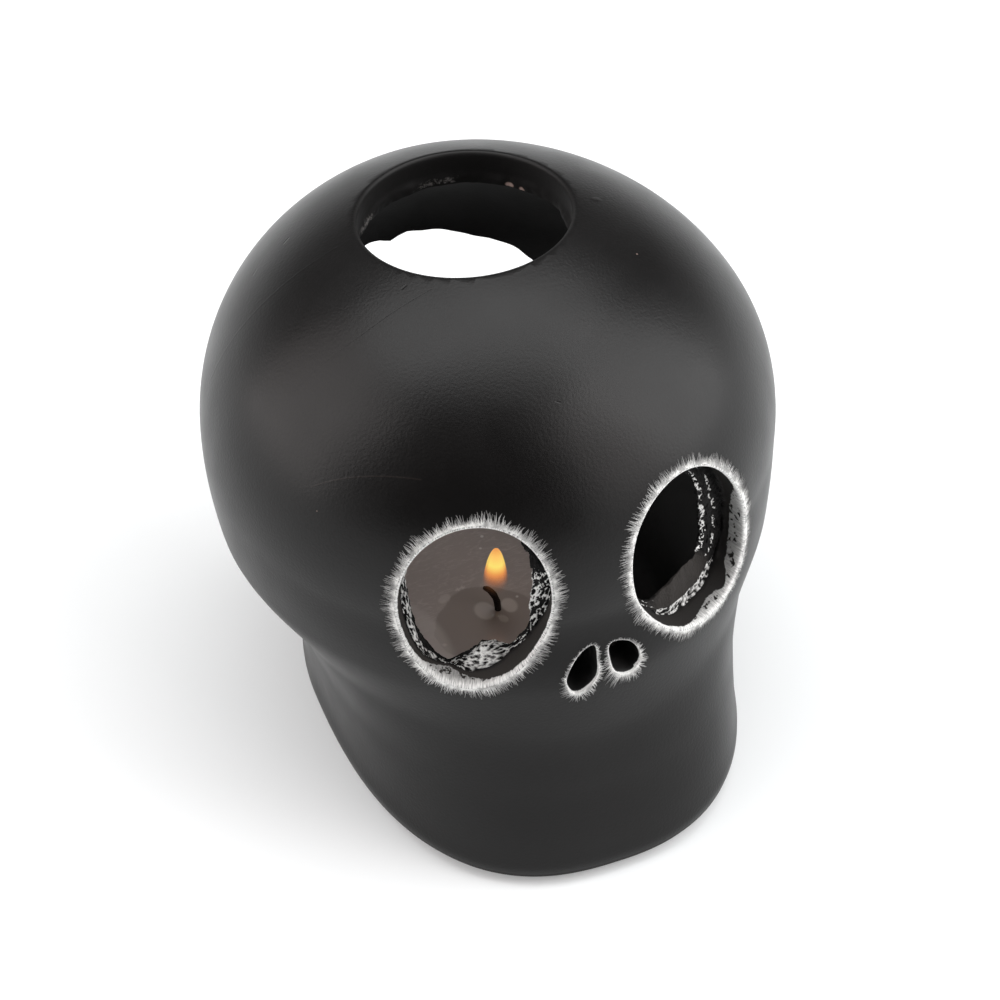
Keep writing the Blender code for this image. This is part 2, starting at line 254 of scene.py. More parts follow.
def through(values, heights):
    """A smooth curve through the values at RING_HEIGHTS, with no waves, at each of the heights."""
    steps = [b - a for a, b in zip(RING_HEIGHTS, RING_HEIGHTS[1:])]
    secants = [(b - a) / step for a, b, step in zip(values, values[1:], steps)]
    slopes = [secants[0]]
    for before, after, left, right in zip(secants, secants[1:], steps, steps[1:]):
        near, far = 2 * right + left, right + 2 * left
        slopes.append(0.0 if before * after <= 0 else (near + far) / (near / before + far / after))
    slopes.append(0.0)
    index = np.clip(np.searchsorted(RING_HEIGHTS, heights, side="right") - 1, 0, len(steps) - 1)
    start, step = np.array(RING_HEIGHTS)[index], np.array(steps)[index]
    low, high = np.array(values)[index], np.array(values)[index + 1]
    t = np.clip((heights - start) / step, 0, 1)
    rise = t * t * (3 - 2 * t)
    slope_in, slope_out = np.array(slopes)[index], np.array(slopes)[index + 1]
    return low * (1 - rise) + high * rise + step * (slope_in * t * (1 - t) ** 2 - slope_out * t * t * (1 - t))


def section(heights, inset=0.0):
    """Half width, front, back, middle and squarenesses of the skull at each height, moved in by inset."""
    heights = np.asarray(heights, dtype=float)
    low = np.clip(heights, 0, CRANIUM_HEIGHT)
    share = low / CRANIUM_HEIGHT
    jaw = 1 - share * share * (3 - 2 * share)
    temple = np.exp(-(((low - TEMPLE_HEIGHT) / (CRANIUM_HEIGHT - TEMPLE_HEIGHT)) ** 2) * 2)
    up = np.clip((heights - CRANIUM_HEIGHT) / (SKULL_HEIGHT - inset - CRANIUM_HEIGHT), 0, 1)
    dome = (1 - up**DOME_SQUARENESS) ** (1 / DOME_SQUARENESS)
    front_square = CRANIUM_SQUARENESS + (JAW_SQUARENESS - CRANIUM_SQUARENESS) * jaw
    front_square = front_square + (TEMPLE_SQUARENESS - front_square) * temple
    back_square = CRANIUM_SQUARENESS + (NAPE_SQUARENESS - CRANIUM_SQUARENESS) * jaw
    reaches = [np.maximum((through(row, low) - inset) * dome, 1e-9) for row in (HALF_WIDTHS, FRONTS, BACKS)]
    return (*reaches, JAW_MIDDLE * jaw, front_square, back_square)


def is_inside(points, inset=0.0):
    """Which points lie inside the skull's outer face, moved in by inset."""
    half_width, front, back, middle, front_square, back_square = section(points[:, 2], inset)
    ahead = points[:, 1] < middle
    power = np.where(ahead, front_square, back_square)
    length = np.where(ahead, front + middle, back - middle)
    level = np.abs(points[:, 0] / half_width) ** power + np.abs((points[:, 1] - middle) / length) ** power
    return (level < 1) & (points[:, 2] < SKULL_HEIGHT - inset)


def face_distance(points, way):
    """How far each point is from the outer face, going along way from inside."""
    points = np.asarray(points, dtype=float)
    near = np.zeros(len(points))
    far = np.full(len(points), 2 * SKULL_HEIGHT)
    for _ in range(36):
        middle = (near + far) / 2
        inside = is_inside(points + middle[:, None] * way)
        near, far = np.where(inside, middle, near), np.where(inside, far, middle)
    return near


def all_round(count):
    """Equal steps of angle in one turn."""
    return 2 * np.pi * np.arange(count) / count


def oval_points(angle, half_width, half_height, level=0.0):
    """Points of an oval at each angle, at a level."""
    level = np.zeros(len(angle)) + level
    return np.stack([half_width * np.cos(angle), half_height * np.sin(angle), level], axis=1)


def ring(height, inset, count):
    """Points round the skull at a height."""
    half_width, front, back, middle, front_square, back_square = (float(v) for v in section(height, inset))
    angle = all_round(count)
    c, s = np.cos(angle), np.sin(angle)
    power = np.where(s < 0, 2 / front_square, 2 / back_square)
    length = np.where(s < 0, front + middle, back - middle)
    x = half_width * np.sign(c) * np.abs(c) ** power
    y = middle + length * np.sign(s) * np.abs(s) ** power
    return np.stack([x, y, np.full(count, height)], axis=1)


def skull_rings(inset, floor, count, foot_steps, lower_steps, dome_steps):
    """Rings of the outer face or the cavity, from the rounded foot to just under the crown."""
    rings = []
    for step in range(foot_steps):
        angle = step / foot_steps * math.pi / 2
        height = floor + FOOT_ROUND * (1 - math.cos(angle))
        rings.append(ring(height, inset + FOOT_ROUND * (1 - math.sin(angle)), count))
    start = floor + FOOT_ROUND
    for step in range(lower_steps):
        rings.append(ring(start + (CRANIUM_HEIGHT - start) * step / lower_steps, inset, count))
    for step in range(dome_steps):
        up = math.sin(step / dome_steps * math.pi / 2)
        rings.append(ring(CRANIUM_HEIGHT + (SKULL_HEIGHT - inset - CRANIUM_HEIGHT) * up, inset, count))
    return rings


def loft(name, rings, apex=None, material=None):
    """A closed object through rings of equally many points, with an apex or a flat cap above."""
    count = len(rings[0])
    points = np.concatenate(rings)
    faces = []
    for level in range(len(rings) - 1):
        for index in range(count):
            after = (index + 1) % count
            low = level * count
            faces.append((low + index, low + after, low + count + after, low + count + index))
    faces.append(tuple(range(count - 1, -1, -1)))
    last = (len(rings) - 1) * count
    if apex is None:
        faces.append(tuple(range(last, last + count)))
    else:
        points = np.concatenate([points, [apex]])
        faces += [(last + index, last + (index + 1) % count, len(points) - 1) for index in range(count)]
    return new_object(name, points, faces, material)


def flip_if_inside_out(obj):
    """Turns a closed mesh the right way out."""
    mesh = obj.data
    mesh.calc_loop_triangles()
    corners = np.array([mesh.vertices[i].co for t in mesh.loop_triangles for i in t.vertices])
    corners = corners.reshape(-1, 3, 3)
    if np.einsum("ij,ij->i", corners[:, 0], np.cross(corners[:, 1], corners[:, 2])).sum() < 0:
        mesh.flip_normals()
    return obj


def rough(points, size, seed=0.0):
    """Even noise between about -1 and 1 at points, with lumps of that size in metres."""
    return np.array([noise.noise(Vector(p) / size + Vector((seed, seed * 0.7, -seed))) for p in points])


def smooth_step(low, high, value):
    """0 below low, 1 above high, and a smooth rise between."""
    t = np.clip((value - low) / (high - low), 0, 1)
    return t * t * (3 - 2 * t)


RIM_ROUND = 0.0008  # soft edge of each hole, wiped with a wet finger
CRUMPLE = 0.00065  # how high the crinkles of torn clay stand

EYE_HALF_WIDTH = 0.0177
EYE_HALF_HEIGHT = 0.0223
EYE_HEIGHT = 0.0817
EYE_TURN = math.radians(24.0)
UPWARD, FORWARD, BACKWARD = np.array([0, 0, 1.0]), np.array([0, -1.0, 0]), np.array([0, 1.0, 0])
# Each eye: side, lean, then how much wider, further aside and higher it is than the CAD oval
EYES = {
    "left": (-1, math.radians(12.0), -0.00026, -0.0004, 0.0002),
    "right": (1, math.radians(25.0), 0.00028, 0.0006, -0.0011),
}
# The knife's wobble round each oval: waves in a turn, cosine part, sine part
HAND_CUT = {
    "left": ((3, 0.0, 0.00027), (4, 0.0, 0.00009)),
    "right": ((3, -0.0005, 0.00014), (4, -0.00024, 0.0003)),
}
# The torn lip inside each eye. Each row is an angle in degrees, in millimetres how far the lip reaches into
# the hole and how deep it starts, the share of it that caught silver, how far in, in millimetres, the painted
# silver runs from the rim, and whether the lip is a smooth slab.
LIPS = {
    "left": (
        (0, 0.8, 5.4, 0.42, 0.4, 0),
        (30, 1.4, 6.5, 0.2, 0.4, 0),
        (90, 2.6, 6.5, 0.2, 0.4, 0),
        (125, 3.6, 6.4, 0.05, 0.4, 0),
        (143, 4.0, 6.0, 0.05, 0.4, 0),
        (158, 4.4, 5.8, 0.30, 0.4, 0),
        (182, 4.1, 5.6, 0.38, 0.4, 0),
        (196, 2.4, 6.2, 0.36, 0.4, 0),
        (207, 0.6, 7.2, 0.3, 0.5, 0),
        (226, 0.6, 7.4, 0.3, 1.2, 0),
        (233, 3.8, 6.0, 1.05, 1.4, 0),
        (244, 4.9, 5.2, 1.18, 1.7, 0),
        (257, 3.4, 5.0, 1.12, 2.8, 0),
        (265, 1.4, 5.6, 0.4, 3.8, 0),
        (274, -2.4, 5.8, 0.2, 4.8, 0),
        (284, -1.4, 4.6, 0.52, 3.4, 0),
        (297, -0.2, 3.2, 0.52, 1.4, 0),
        (314, 1.0, 3.8, 0.48, 0.7, 0),
        (337, 1.5, 4.8, 0.45, 0.4, 0),
    ),
    "right": (
        (0, 6.6, 7.2, 0.4, 1.0, 0),
        (20, 4.8, 7.2, 0.3, 0.5, 0),
        (40, 4.2, 7.0, 0.2, 0.5, 0),
        (120, 2.4, 7.0, 0.2, 0.4, 0),
        (190, 0.5, 7.0, 0.2, 0.5, 0),
        (206, 1.6, 7.0, 0.3, 0.6, 0.3),
        (214, 4.6, 6.8, 0.6, 0.6, 1),
        (226, 7.0, 6.8, 0.7, 0.8, 1),
        (240, 7.9, 7.2, 0.85, 2.2, 1),
        (255, 8.0, 7.5, 0.85, 3.6, 1),
        (264, 7.9, 7.6, 0.8, 3.0, 1),
        (272, 7.8, 7.6, 0.6, 1.2, 1),
        (281, 7.9, 7.6, 0.4, 2.6, 0.8),
        (288, 8.2, 7.5, 0.30, 4.2, 0),
        (305, 8.8, 7.4, 0.34, 4.9, 0),
        (330, 8.6, 7.3, 0.38, 4.6, 0),
        (345, 7.8, 7.2, 0.45, 3.4, 0),
    ),
}
# Where silver caught, as parts of the way across the lip, and how much painted lit grey the wall above it
# takes
STRIPS = {"left": ((0.0, 1.3),), "right": ((0.36, 0.52), (0.80, 1.00))}
WALL_GREY = {"left": 1.0, "right": 0.45}
RUN_IN = 4  # that column of the rows
AROUND_EYE = 400
WALL_STEPS, LEDGE_STEPS, INNER_STEPS = 12, 20, 16
LIP_TURN = 0.0012
LIP_DEPTH = 0.0056
LIP_THINNING = 0.0008
SLAB_GROOVE = 0.0007
RAGGED = 0.45  # how far, in millimetres, the torn lip wanders from its row
# Half width and half height, in millimetres, of the oval that folds are counted along
FOLD_OVAL = (20, 22)
# Size round the hole and inwards of each fold of torn clay, in millimetres, its share and the seed's step
FOLDS = ((2.3, 0.8, 0.60, 0.0), (0.9, 0.42, 0.40, 4.0))


def read(rows, column, angle):
    """A column of a table of angles in degrees, at each angle in radians."""
    return np.interp(np.degrees(angle), [row[0] for row in rows], [row[column] for row in rows], period=360)


def eye_frame(name):
    """The way out of an eye, the level way across it, and its oval's middle in the plane through the axis."""
    side, _, _, aside, above = EYES[name]
    outward = np.array([side * math.sin(EYE_TURN), -math.cos(EYE_TURN), 0.0])
    sideways = np.array([side * math.cos(EYE_TURN), math.sin(EYE_TURN), 0.0])
    return outward, sideways, sideways * aside + UPWARD * (EYE_HEIGHT + above)


def wobble(name, angle):
    """How far the knife strayed outwards from the oval at each angle."""
    return sum(c * np.cos(waves * angle) + s * np.sin(waves * angle) for waves, c, s in HAND_CUT[name])


def eye_outline(name, angle, spread):
    """Points of an eye's oval, widened by spread, in the plane through the axis that the eye looks out of."""
    _, lean, wider, _, _ = EYES[name]
    _, sideways, middle = eye_frame(name)
    c, s = np.cos(angle), np.sin(angle)
    normal = np.stack([c / EYE_HALF_WIDTH, s / EYE_HALF_HEIGHT])
    normal /= np.linalg.norm(normal, axis=0)
    spread = spread + wider + wobble(name, angle)
    across, up = EYE_HALF_WIDTH * c + normal[0] * spread, EYE_HALF_HEIGHT * s + normal[1] * spread
    x = across * math.cos(lean) - up * math.sin(lean)
    z = across * math.sin(lean) + up * math.cos(lean)
    return middle + x[:, None] * sideways + z[:, None] * UPWARD


def cutter_through(name, bases, depths, way):
    """Cutter with a ring at each depth below the face, flat ends beyond the shell, and its points."""
    rings = [base + way * (face_distance(base, way) - depth)[:, None] for base, depth in zip(bases, depths)]
    reach = face_distance(bases[0], way)
    outside = bases[0] + way * (reach.max() + WALL)
    inside = bases[-1] + way * (reach.min() - 2.4 * WALL)
    rings = [outside, *rings, inside]
    return flip_if_inside_out(loft(name, rings)), np.concatenate(rings)


def rim_profile(radius=RIM_ROUND):
    """Depth and widening of a hole's rounded edge, from outside the face to where its wall is straight."""
    rows = [(-0.0012, radius * 1.5), (-0.0001, radius * 1.12)]
    for angle in (66, 50, 34, 17, 0):
        c, s = math.cos(math.radians(angle)), math.sin(math.radians(angle))
        rows.append((radius * (1 - s), radius * (1 - c)))
    return rows


def crinkles(angle, gone, seed):
    """Sharp folds of torn clay, from 0 to 1, drawn out round the hole; gone is in millimetres inwards."""
    height = 0.0
    for size_round, size_in, share, step in FOLDS:
        places = oval_points(angle, FOLD_OVAL[0] / size_round, FOLD_OVAL[1] / size_round, gone / size_in)
        height = height + share * (1 - 2 * np.abs(rough(places, 1.0, seed + step)))
    return np.clip(height, 0, 1)


def eye_cutter(name):
    """Cutter for one eye, with rounded edge, smooth wall and torn lip, its points, and the clay's values."""
    angle = all_round(AROUND_EYE)
    outward, _, _ = eye_frame(name)
    reach, start, share, _, smooth = (read(LIPS[name], column, angle) for column in range(1, 6))
    edge = oval_points(angle, *FOLD_OVAL)
    reach = (reach + RAGGED * (1 - 0.6 * smooth) * rough(edge, 2.6, 3.1)) / 1000
    start = (start + RAGGED * rough(edge, 3.2, 7.7)) / 1000
    level = np.zeros(AROUND_EYE)
    # Rows of depth, widening, how torn the clay is, and the way across the lip
    path = [(level + depth, level + spread, 0.0, 0.0) for depth, spread in rim_profile()]
    for step in range(1, WALL_STEPS + 1):
        t = step / WALL_STEPS
        groove = SLAB_GROOVE * smooth * smooth_step(0.72, 0.9, t)
        path.append((RIM_ROUND + (start - RIM_ROUND) * t, groove, smooth_step(0.72, 1.0, t), 0.0))
    for step in range(1, LEDGE_STEPS + 1):
        t = step / LEDGE_STEPS
        path.append((start + LIP_TURN * t * t, -reach * t + SLAB_GROOVE * smooth * (1 - t), 1.0, t))
    for step in range(1, INNER_STEPS + 1):
        t = step / INNER_STEPS
        path.append((start + LIP_TURN + LIP_DEPTH * t, LIP_THINNING * t - reach, 1.0, 1.0 + t))
    bases, depths, values = [], [], []
    gone, before = level, None
    # Folds lift the clay, and silver caught on the higher ones. Each point keeps how torn and silvered it is.
    for depth, spread, torn, along in path:
        if before is not None:
            gone = gone + np.hypot(depth - before[0], spread - before[1]) * 1000
        before = (depth, spread)
        fold = crinkles(angle, gone, 5.0 + 10.0 * EYES[name][0])
        slab = smooth * smooth_step(0.18, 0.34, along)
        lifted = 0.8 * CRUMPLE * torn * (1 - slab) * fold
        bases.append(eye_outline(name, angle, spread - lifted))
        depths.append(depth - lifted)
        edge_at = 0.82 - 0.55 * share
        silvered = smooth_step(edge_at - 0.10, edge_at + 0.12, fold) * np.minimum(1, share * 3)
        silvered = silvered * smooth_step(0.5, 1.0, torn) * (1 - slab)
        strayed = along + 0.10 * rough(edge, 4.0, 6.6)
        strips = 0.0
        for begin, end in STRIPS[name]:
            begun = smooth_step(begin - 0.07, begin + 0.05, strayed)
            strips = strips + begun * (1 - smooth_step(end - 0.07, end + 0.05, strayed))
        silvered = silvered * np.maximum(smooth, strips)
        # Painted light on the torn silver: bright where a fold stands high, as a painted highlight, and dark
        # in the creases
        shine = smooth_step(0.40, 0.82, fold + 0.45 * np.clip(share - 0.9, 0, 0.5))
        # Painted light: the slab, and part of the smooth wall above the lip, are greyed as black paint lit
        # from above looks
        grey = np.maximum(slab, WALL_GREY[name] * (1 - torn) * (depth >= RIM_ROUND))
        values.append(np.stack([level + torn, shine, silvered, grey], axis=1))
    nothing = np.zeros((AROUND_EYE, 4))
    cutter, points = cutter_through(f"{name}_eye_cutter", bases, depths, outward)
    return cutter, points, np.concatenate([nothing, *values, nothing])


CROWN_HOLE_RADIUS = 0.0253
CROWN_HOLE_BEHIND_AXIS = 0.0159
CROWN_ROUND = 0.0015


def crown_cutter(count=240):
    """Cutter for the round hole in the crown, straight down, with a thin torn edge below."""
    angle = all_round(count)
    bases = []
    rows = rim_profile(CROWN_ROUND) + [(depth, 0.0) for depth in np.arange(0.0022, 0.0135, 0.0008)]
    for depth, spread in rows:
        torn = 0.0007 * smooth_step(0.006, 0.0085, depth)
        radius = CROWN_HOLE_RADIUS + spread
        if torn > 0:
            probe = oval_points(angle, 1, 1, depth / 0.03) * CROWN_HOLE_RADIUS
            radius = radius - torn * (0.8 + rough(probe, 0.006, 1.3) + 0.6 * rough(probe, 0.002, 5.2))
        bases.append(oval_points(angle, radius, radius, CRANIUM_HEIGHT) + BACKWARD * CROWN_HOLE_BEHIND_AXIS)
    return cutter_through("crown_cutter", bases, [row[0] for row in rows], UPWARD)[0]


# Each nostril is a teardrop cut by hand: its corners as X and Z in millimetres, clockwise from the top
NOSTRILS = {
    "left": (
        (-0.8, 68.3), (-0.6, 65.2), (-1.0, 61.4), (-3.0, 58.5), (-5.8, 56.8), (-7.4, 58.3), (-7.9, 61.2),
        (-5.9, 65.1), (-3.2, 67.8),
    ),
    "right": (
        (4.6, 67.7), (7.8, 66.5), (9.7, 64.0), (10.0, 61.0), (8.2, 58.9), (5.9, 58.9), (3.7, 60.6),
        (2.9, 64.4), (3.1, 67.1),
    ),
}
NOSTRIL_POINTS = 108


def nostril_outline(name, spread):
    """X and Z of a nostril's points, on a smooth curve through its corners, and their ways outwards."""
    corners = np.array(NOSTRILS[name]) / 1000
    t = np.arange(NOSTRIL_POINTS) / NOSTRIL_POINTS * len(corners)
    index = t.astype(int)
    t = (t - index)[:, None]
    a, b, c, d = (corners[(index + shift) % len(corners)] for shift in (-1, 0, 1, 2))
    points = 0.5 * (2 * b + (c - a) * t + (2 * a - 5 * b + 4 * c - d) * t**2 + (3 * b - a - 3 * c + d) * t**3)
    onward = np.roll(points, -1, axis=0) - np.roll(points, 1, axis=0)
    away = np.stack([-onward[:, 1], onward[:, 0]], axis=1)
    away *= np.sign(((points - points.mean(axis=0)) * away).sum())
    away /= np.linalg.norm(away, axis=1)[:, None]
    return points + away * spread, away


def upright_plane(flat):
    """Points from X and Z, in the upright plane through the axis."""
    return np.stack([flat[:, 0], np.zeros(len(flat)), flat[:, 1]], axis=1)


def nostril_cutter(name):
    """Cutter for one nostril, straight back through the face."""
    bases = []
    rows = [(-0.0006, 0.0008), (0.0, 0.0005), (0.0003, 0.0002), (0.0007, 0.0)]
    rows += [(depth, 0.0) for depth in np.arange(0.0014, 0.0120, 0.0007)]
    for depth, spread in rows:
        outline, away = nostril_outline(name, spread)
        flat = upright_plane(outline)
        if depth > 0.001:
            wander = 0.0003 * rough(flat - BACKWARD * depth, 0.0022, 2.2)
            flat = flat + upright_plane(away) * wander[:, None]
        bases.append(flat)
    return cutter_through(f"{name}_nostril_cutter", bases, [row[0] for row in rows], FORWARD)[0]


BACK_OPENING_HALF_WIDTH = 0.0390
BACK_OPENING_SILL = 0.0120
BACK_OPENING_TOP = 0.0793
BACK_OPENING_SQUARENESS = 2.6
# Where the knife dipped along the top of the opening: X of the dip, half its width and its depth
BACK_DIPS = ((0.0200, 0.0080, 0.0021), (-0.0022, 0.0022, 0.0013), (-0.0130, 0.0030, 0.0006))


def back_cutter(count=260):
    """Cutter for the wide opening in the back: a rounded edge outside, and a wavy hand-cut edge inside."""
    middle = (BACK_OPENING_TOP + BACK_OPENING_SILL) / 2
    half_height = (BACK_OPENING_TOP - BACK_OPENING_SILL) / 2
    angle = all_round(count)
    c, s = np.cos(angle), np.sin(angle)
    power = 2 / BACK_OPENING_SQUARENESS
    x = BACK_OPENING_HALF_WIDTH * np.sign(c) * np.abs(c) ** power
    z = half_height * np.sign(s) * np.abs(s) ** power
    outline = upright_plane(np.stack([x, z], axis=1))
    ray = outline / np.linalg.norm(outline, axis=1)[:, None]
    bases = []
    rows = rim_profile() + [(depth, 0.0) for depth in np.arange(0.0020, 0.0125, 0.0010)]
    for depth, spread in rows:
        cut_in = smooth_step(0.0015, 0.0085, depth)
        probe = outline + BACKWARD * depth
        wander = 0.0010 * rough(probe, 0.016, 4.4) + 0.0007 * rough(probe, 0.005, 9.1)
        for place, half, dip in BACK_DIPS:
            wander = wander - (s > 0) * dip * np.exp(-(((x - place) / half) ** 2))
        bases.append(outline + ray * (spread + cut_in * wander)[:, None] + UPWARD * middle)
    return cutter_through("back_cutter", bases, [row[0] for row in rows], BACKWARD)[0]


# Points in a ring, then rings in the foot, up to the widest part, and in the dome
OUTSIDE_STEPS = (288, 6, 56, 52)
CAVITY_STEPS = (144, 5, 32, 30)
shell = flip_if_inside_out(loft("shell_rough", skull_rings(0.0, 0.0, *OUTSIDE_STEPS), (0, 0, SKULL_HEIGHT)))
cavity = loft("cavity", skull_rings(WALL, FLOOR, *CAVITY_STEPS), (0, 0, SKULL_HEIGHT - WALL))
cavity = flip_if_inside_out(cavity)
cutters = [cavity, crown_cutter(), back_cutter()]
cutters += [nostril_cutter(name) for name in NOSTRILS]
torn_points, torn_values = [], []
for name in EYES:
    cutter, points, values = eye_cutter(name)
    cutters.append(cutter)
    torn_points.append(points)
    torn_values.append(values)
torn_points, torn_values = np.concatenate(torn_points), np.concatenate(torn_values)
for cutter in cutters:
    modifier = shell.modifiers.new(cutter.name, "BOOLEAN")
    modifier.operation = "DIFFERENCE"
    modifier.solver = "EXACT"
    modifier.object = cutter


def as_plain_mesh(obj, name):
    """A new object at the origin with the evaluated mesh of obj, which is removed."""
    evaluated = obj.evaluated_get(bpy.context.evaluated_depsgraph_get())
    mesh = bpy.data.meshes.new_from_object(evaluated)
    bpy.data.objects.remove(obj)
    mesh.name = name
    plain = bpy.data.objects.new(name, mesh)
    scene.collection.objects.link(plain)
    return plain


skull = as_plain_mesh(shell, "skull_clay")
for cutter in cutters:
    bpy.data.objects.remove(cutter)


def points_of(obj):
    """The points of an object's mesh, as an array."""
    points = np.empty(len(obj.data.vertices) * 3)
    obj.data.vertices.foreach_get("co", points)
    return points.reshape(-1, 3)


# The silver round a nostril is this many times narrower than round an eye, at its top and at its bottom
NOSTRIL_BRUSH = {"left": (4.4, 1.2), "right": (4.2, 0.62)}
FAR_AWAY = 99.0
NOISE_STEP, NOSTRIL_NOISE_START = 40.0, 90.0  # keep the brush marks round each hole unlike the others'


def brush_map(points):
    """In millimetres, each point's way from the painted edge, place along it, and the silver's run in."""
    reach = np.full(len(points), FAR_AWAY)
    place = np.zeros((len(points), 3))
    run_in = np.zeros(len(points))
    for number, name in enumerate(EYES):
        _, lean, wider, _, _ = EYES[name]
        outward, sideways, middle = eye_frame(name)
        rel = points - middle
        x, z, along = rel @ sideways, rel[:, 2], rel @ outward
        across, up = x * math.cos(lean) + z * math.sin(lean), -x * math.sin(lean) + z * math.cos(lean)
        angle = np.arctan2(up / EYE_HALF_HEIGHT, across / EYE_HALF_WIDTH)
        oval = np.hypot(across / EYE_HALF_WIDTH, up / EYE_HALF_HEIGHT)
        near = np.flatnonzero((along > 0.03) & (oval < 1.8) & (oval > 0.2))
        base = middle + x[near, None] * sideways + z[near, None] * UPWARD
        depth = np.maximum(face_distance(base, outward) - along[near], 0) * 1000
        apart = np.hypot(across, up)[near] * (1 - 1 / oval[near]) - wider - wobble(name, angle[near])
        distance = np.where(depth > 0.02, np.minimum(apart * 1000, 0.3) - depth, apart * 1000)
        closer = distance < reach[near]
        chosen = near[closer]
        reach[chosen] = distance[closer]
        run_in[chosen] = read(LIPS[name], RUN_IN, angle[chosen])
        place[chosen] = oval_points(angle[chosen], 20, 20, NOISE_STEP * number)
    for number, name in enumerate(NOSTRILS):
        outline, away = nostril_outline(name, 0.0)
        middle = outline.mean(axis=0)
        close = np.linalg.norm(points[:, [0, 2]] - middle, axis=1) < 0.013
        near = np.flatnonzero(close & (points[:, 1] < -0.05))
        flat = points[near][:, [0, 2]]
        gaps = flat[:, None, :] - outline[None, :, :]
        nearest = np.argmin((gaps**2).sum(axis=2), axis=1)
        gap = gaps[np.arange(len(near)), nearest]
        apart = np.linalg.norm(gap, axis=1) * np.sign((gap * away[nearest]).sum(axis=1)) * 1000
        base = points[near] * np.array([1.0, 0, 1.0])
        depth = np.maximum(face_distance(base, FORWARD) + points[near, 1], 0) * 1000
        distance = np.where(depth > 0.02, np.minimum(apart, 0.15) - depth, apart)
        low = (outline[:, 1].max() - outline[nearest, 1]) / np.ptp(outline[:, 1])
        at_top, at_bottom = NOSTRIL_BRUSH[name]
        distance = distance * (at_top + (at_bottom - at_top) * low**2)
        closer = distance < reach[near]
        chosen = near[closer]
        reach[chosen] = distance[closer]
        run_in[chosen] = 0.9
        heading = points[chosen][:, [0, 2]] - middle
        angle = np.arctan2(heading[:, 1], heading[:, 0])
        place[chosen] = oval_points(angle, 8, 8, NOSTRIL_NOISE_START + NOISE_STEP * number)
    return reach, place, run_in


shell_points = points_of(skull)
reach, place, run_in = brush_map(shell_points)

# The torn clay's values come over from the nearest point of the cutters that shaped it.
finder = KDTree(len(torn_points))
for index, point in enumerate(torn_points):
    finder.insert(point, index)
finder.balance()
torn = np.zeros((len(shell_points), 4))
for index in np.flatnonzero((reach < -0.6) & (reach > -30)):
    _, nearest, distance = finder.find(shell_points[index])
    if distance < 0.0005:
        torn[index] = torn_values[nearest]
# Cut faces and the cavity are bare matt black: 0 on the outer face, 1 a millimetre below it
bare = np.mean([is_inside(shell_points, inset) for inset in (0.0003, 0.0005, 0.0007, 0.0009)], axis=0)
from_hole = np.hypot(shell_points[:, 0], shell_points[:, 1] - CROWN_HOLE_BEHIND_AXIS) - CROWN_HOLE_RADIUS
below_crown = face_distance(shell_points * np.array([1.0, 1.0, 0]) + UPWARD * CRANIUM_HEIGHT, UPWARD)
below_crown = (below_crown + CRANIUM_HEIGHT - shell_points[:, 2]) * 1000
patchy = smooth_step(-0.05, 0.45, rough(shell_points, 0.012, 6.1))
dusty = patchy * (np.abs(from_hole) < 0.0025)
dusty = dusty * smooth_step(5.0, 8.5, below_crown) * (1 - smooth_step(9.4, 10.4, below_crown))
mesh = skull.data
for name, kind, values in (
    ("brush_reach", "FLOAT", reach),
    ("brush_place", "FLOAT_VECTOR", place),
    ("run_in", "FLOAT", run_in),
    ("torn_clay", "FLOAT", torn[:, 0]),
    ("shine", "FLOAT", torn[:, 1]),
    ("torn_silver", "FLOAT", torn[:, 2]),
    ("slab", "FLOAT", torn[:, 3]),
    ("bare", "FLOAT", bare),
    ("dusty", "FLOAT", dusty),
):
    attribute = mesh.attributes.new(name, kind, "POINT")
    attribute.data.foreach_set("vector" if kind == "FLOAT_VECTOR" else "value", values.ravel())

# Satin black acrylic on fired clay. It gives the eye a soft broad sheen with a fine clay grain in it, and
# dull black where the holes were cut. Thin silver paint lies over it, broken at its borders.
PER_MM = 1000  # a pattern's scale on Object coordinates for one lump in each millimetre
satin_black, tree = new_material("satin_black_paint_on_clay")
here = add_node(tree, "ShaderNodeTexCoord").outputs["Object"]
brush_place = add_node(tree, "ShaderNodeAttribute", attribute_name="brush_place").outputs["Vector"]
brush_reach, run_in, torn_clay, shine, torn_silver, slab, bare, dusty = (
    add_node(tree, "ShaderNodeAttribute", attribute_name=name).outputs["Fac"]
    for name in ("brush_reach", "run_in", "torn_clay", "shine", "torn_silver", "slab", "bare", "dusty")
)

# Bristle marks run away from the edge: 0.3 mm wide, as a small flat brush leaves them, and 2.5 mm long.
BRISTLES_PER_MM = 3.4
DRAWN_OUT = 0.12
drawn_out = add_node(tree, "ShaderNodeMath", (brush_reach, DRAWN_OUT), operation="MULTIPLY")
along = add_node(tree, "ShaderNodeCombineXYZ", {"Z": drawn_out})
place = add_node(tree, "ShaderNodeVectorMath", (brush_place, along), operation="ADD")
bristles = add_node(
    tree, "ShaderNodeTexNoise", {"Vector": place, "Scale": BRISTLES_PER_MM, "Detail": 3.0, "Roughness": 0.65}
)
edge = add_node(tree, "ShaderNodeMapRange", (bristles, 0.30, 0.72, 0.6, 2.3))
beyond = add_node(tree, "ShaderNodeMath", (edge, brush_reach), operation="SUBTRACT")
covered = add_node(tree, "ShaderNodeMapRange", (beyond, -0.4, 0.9))

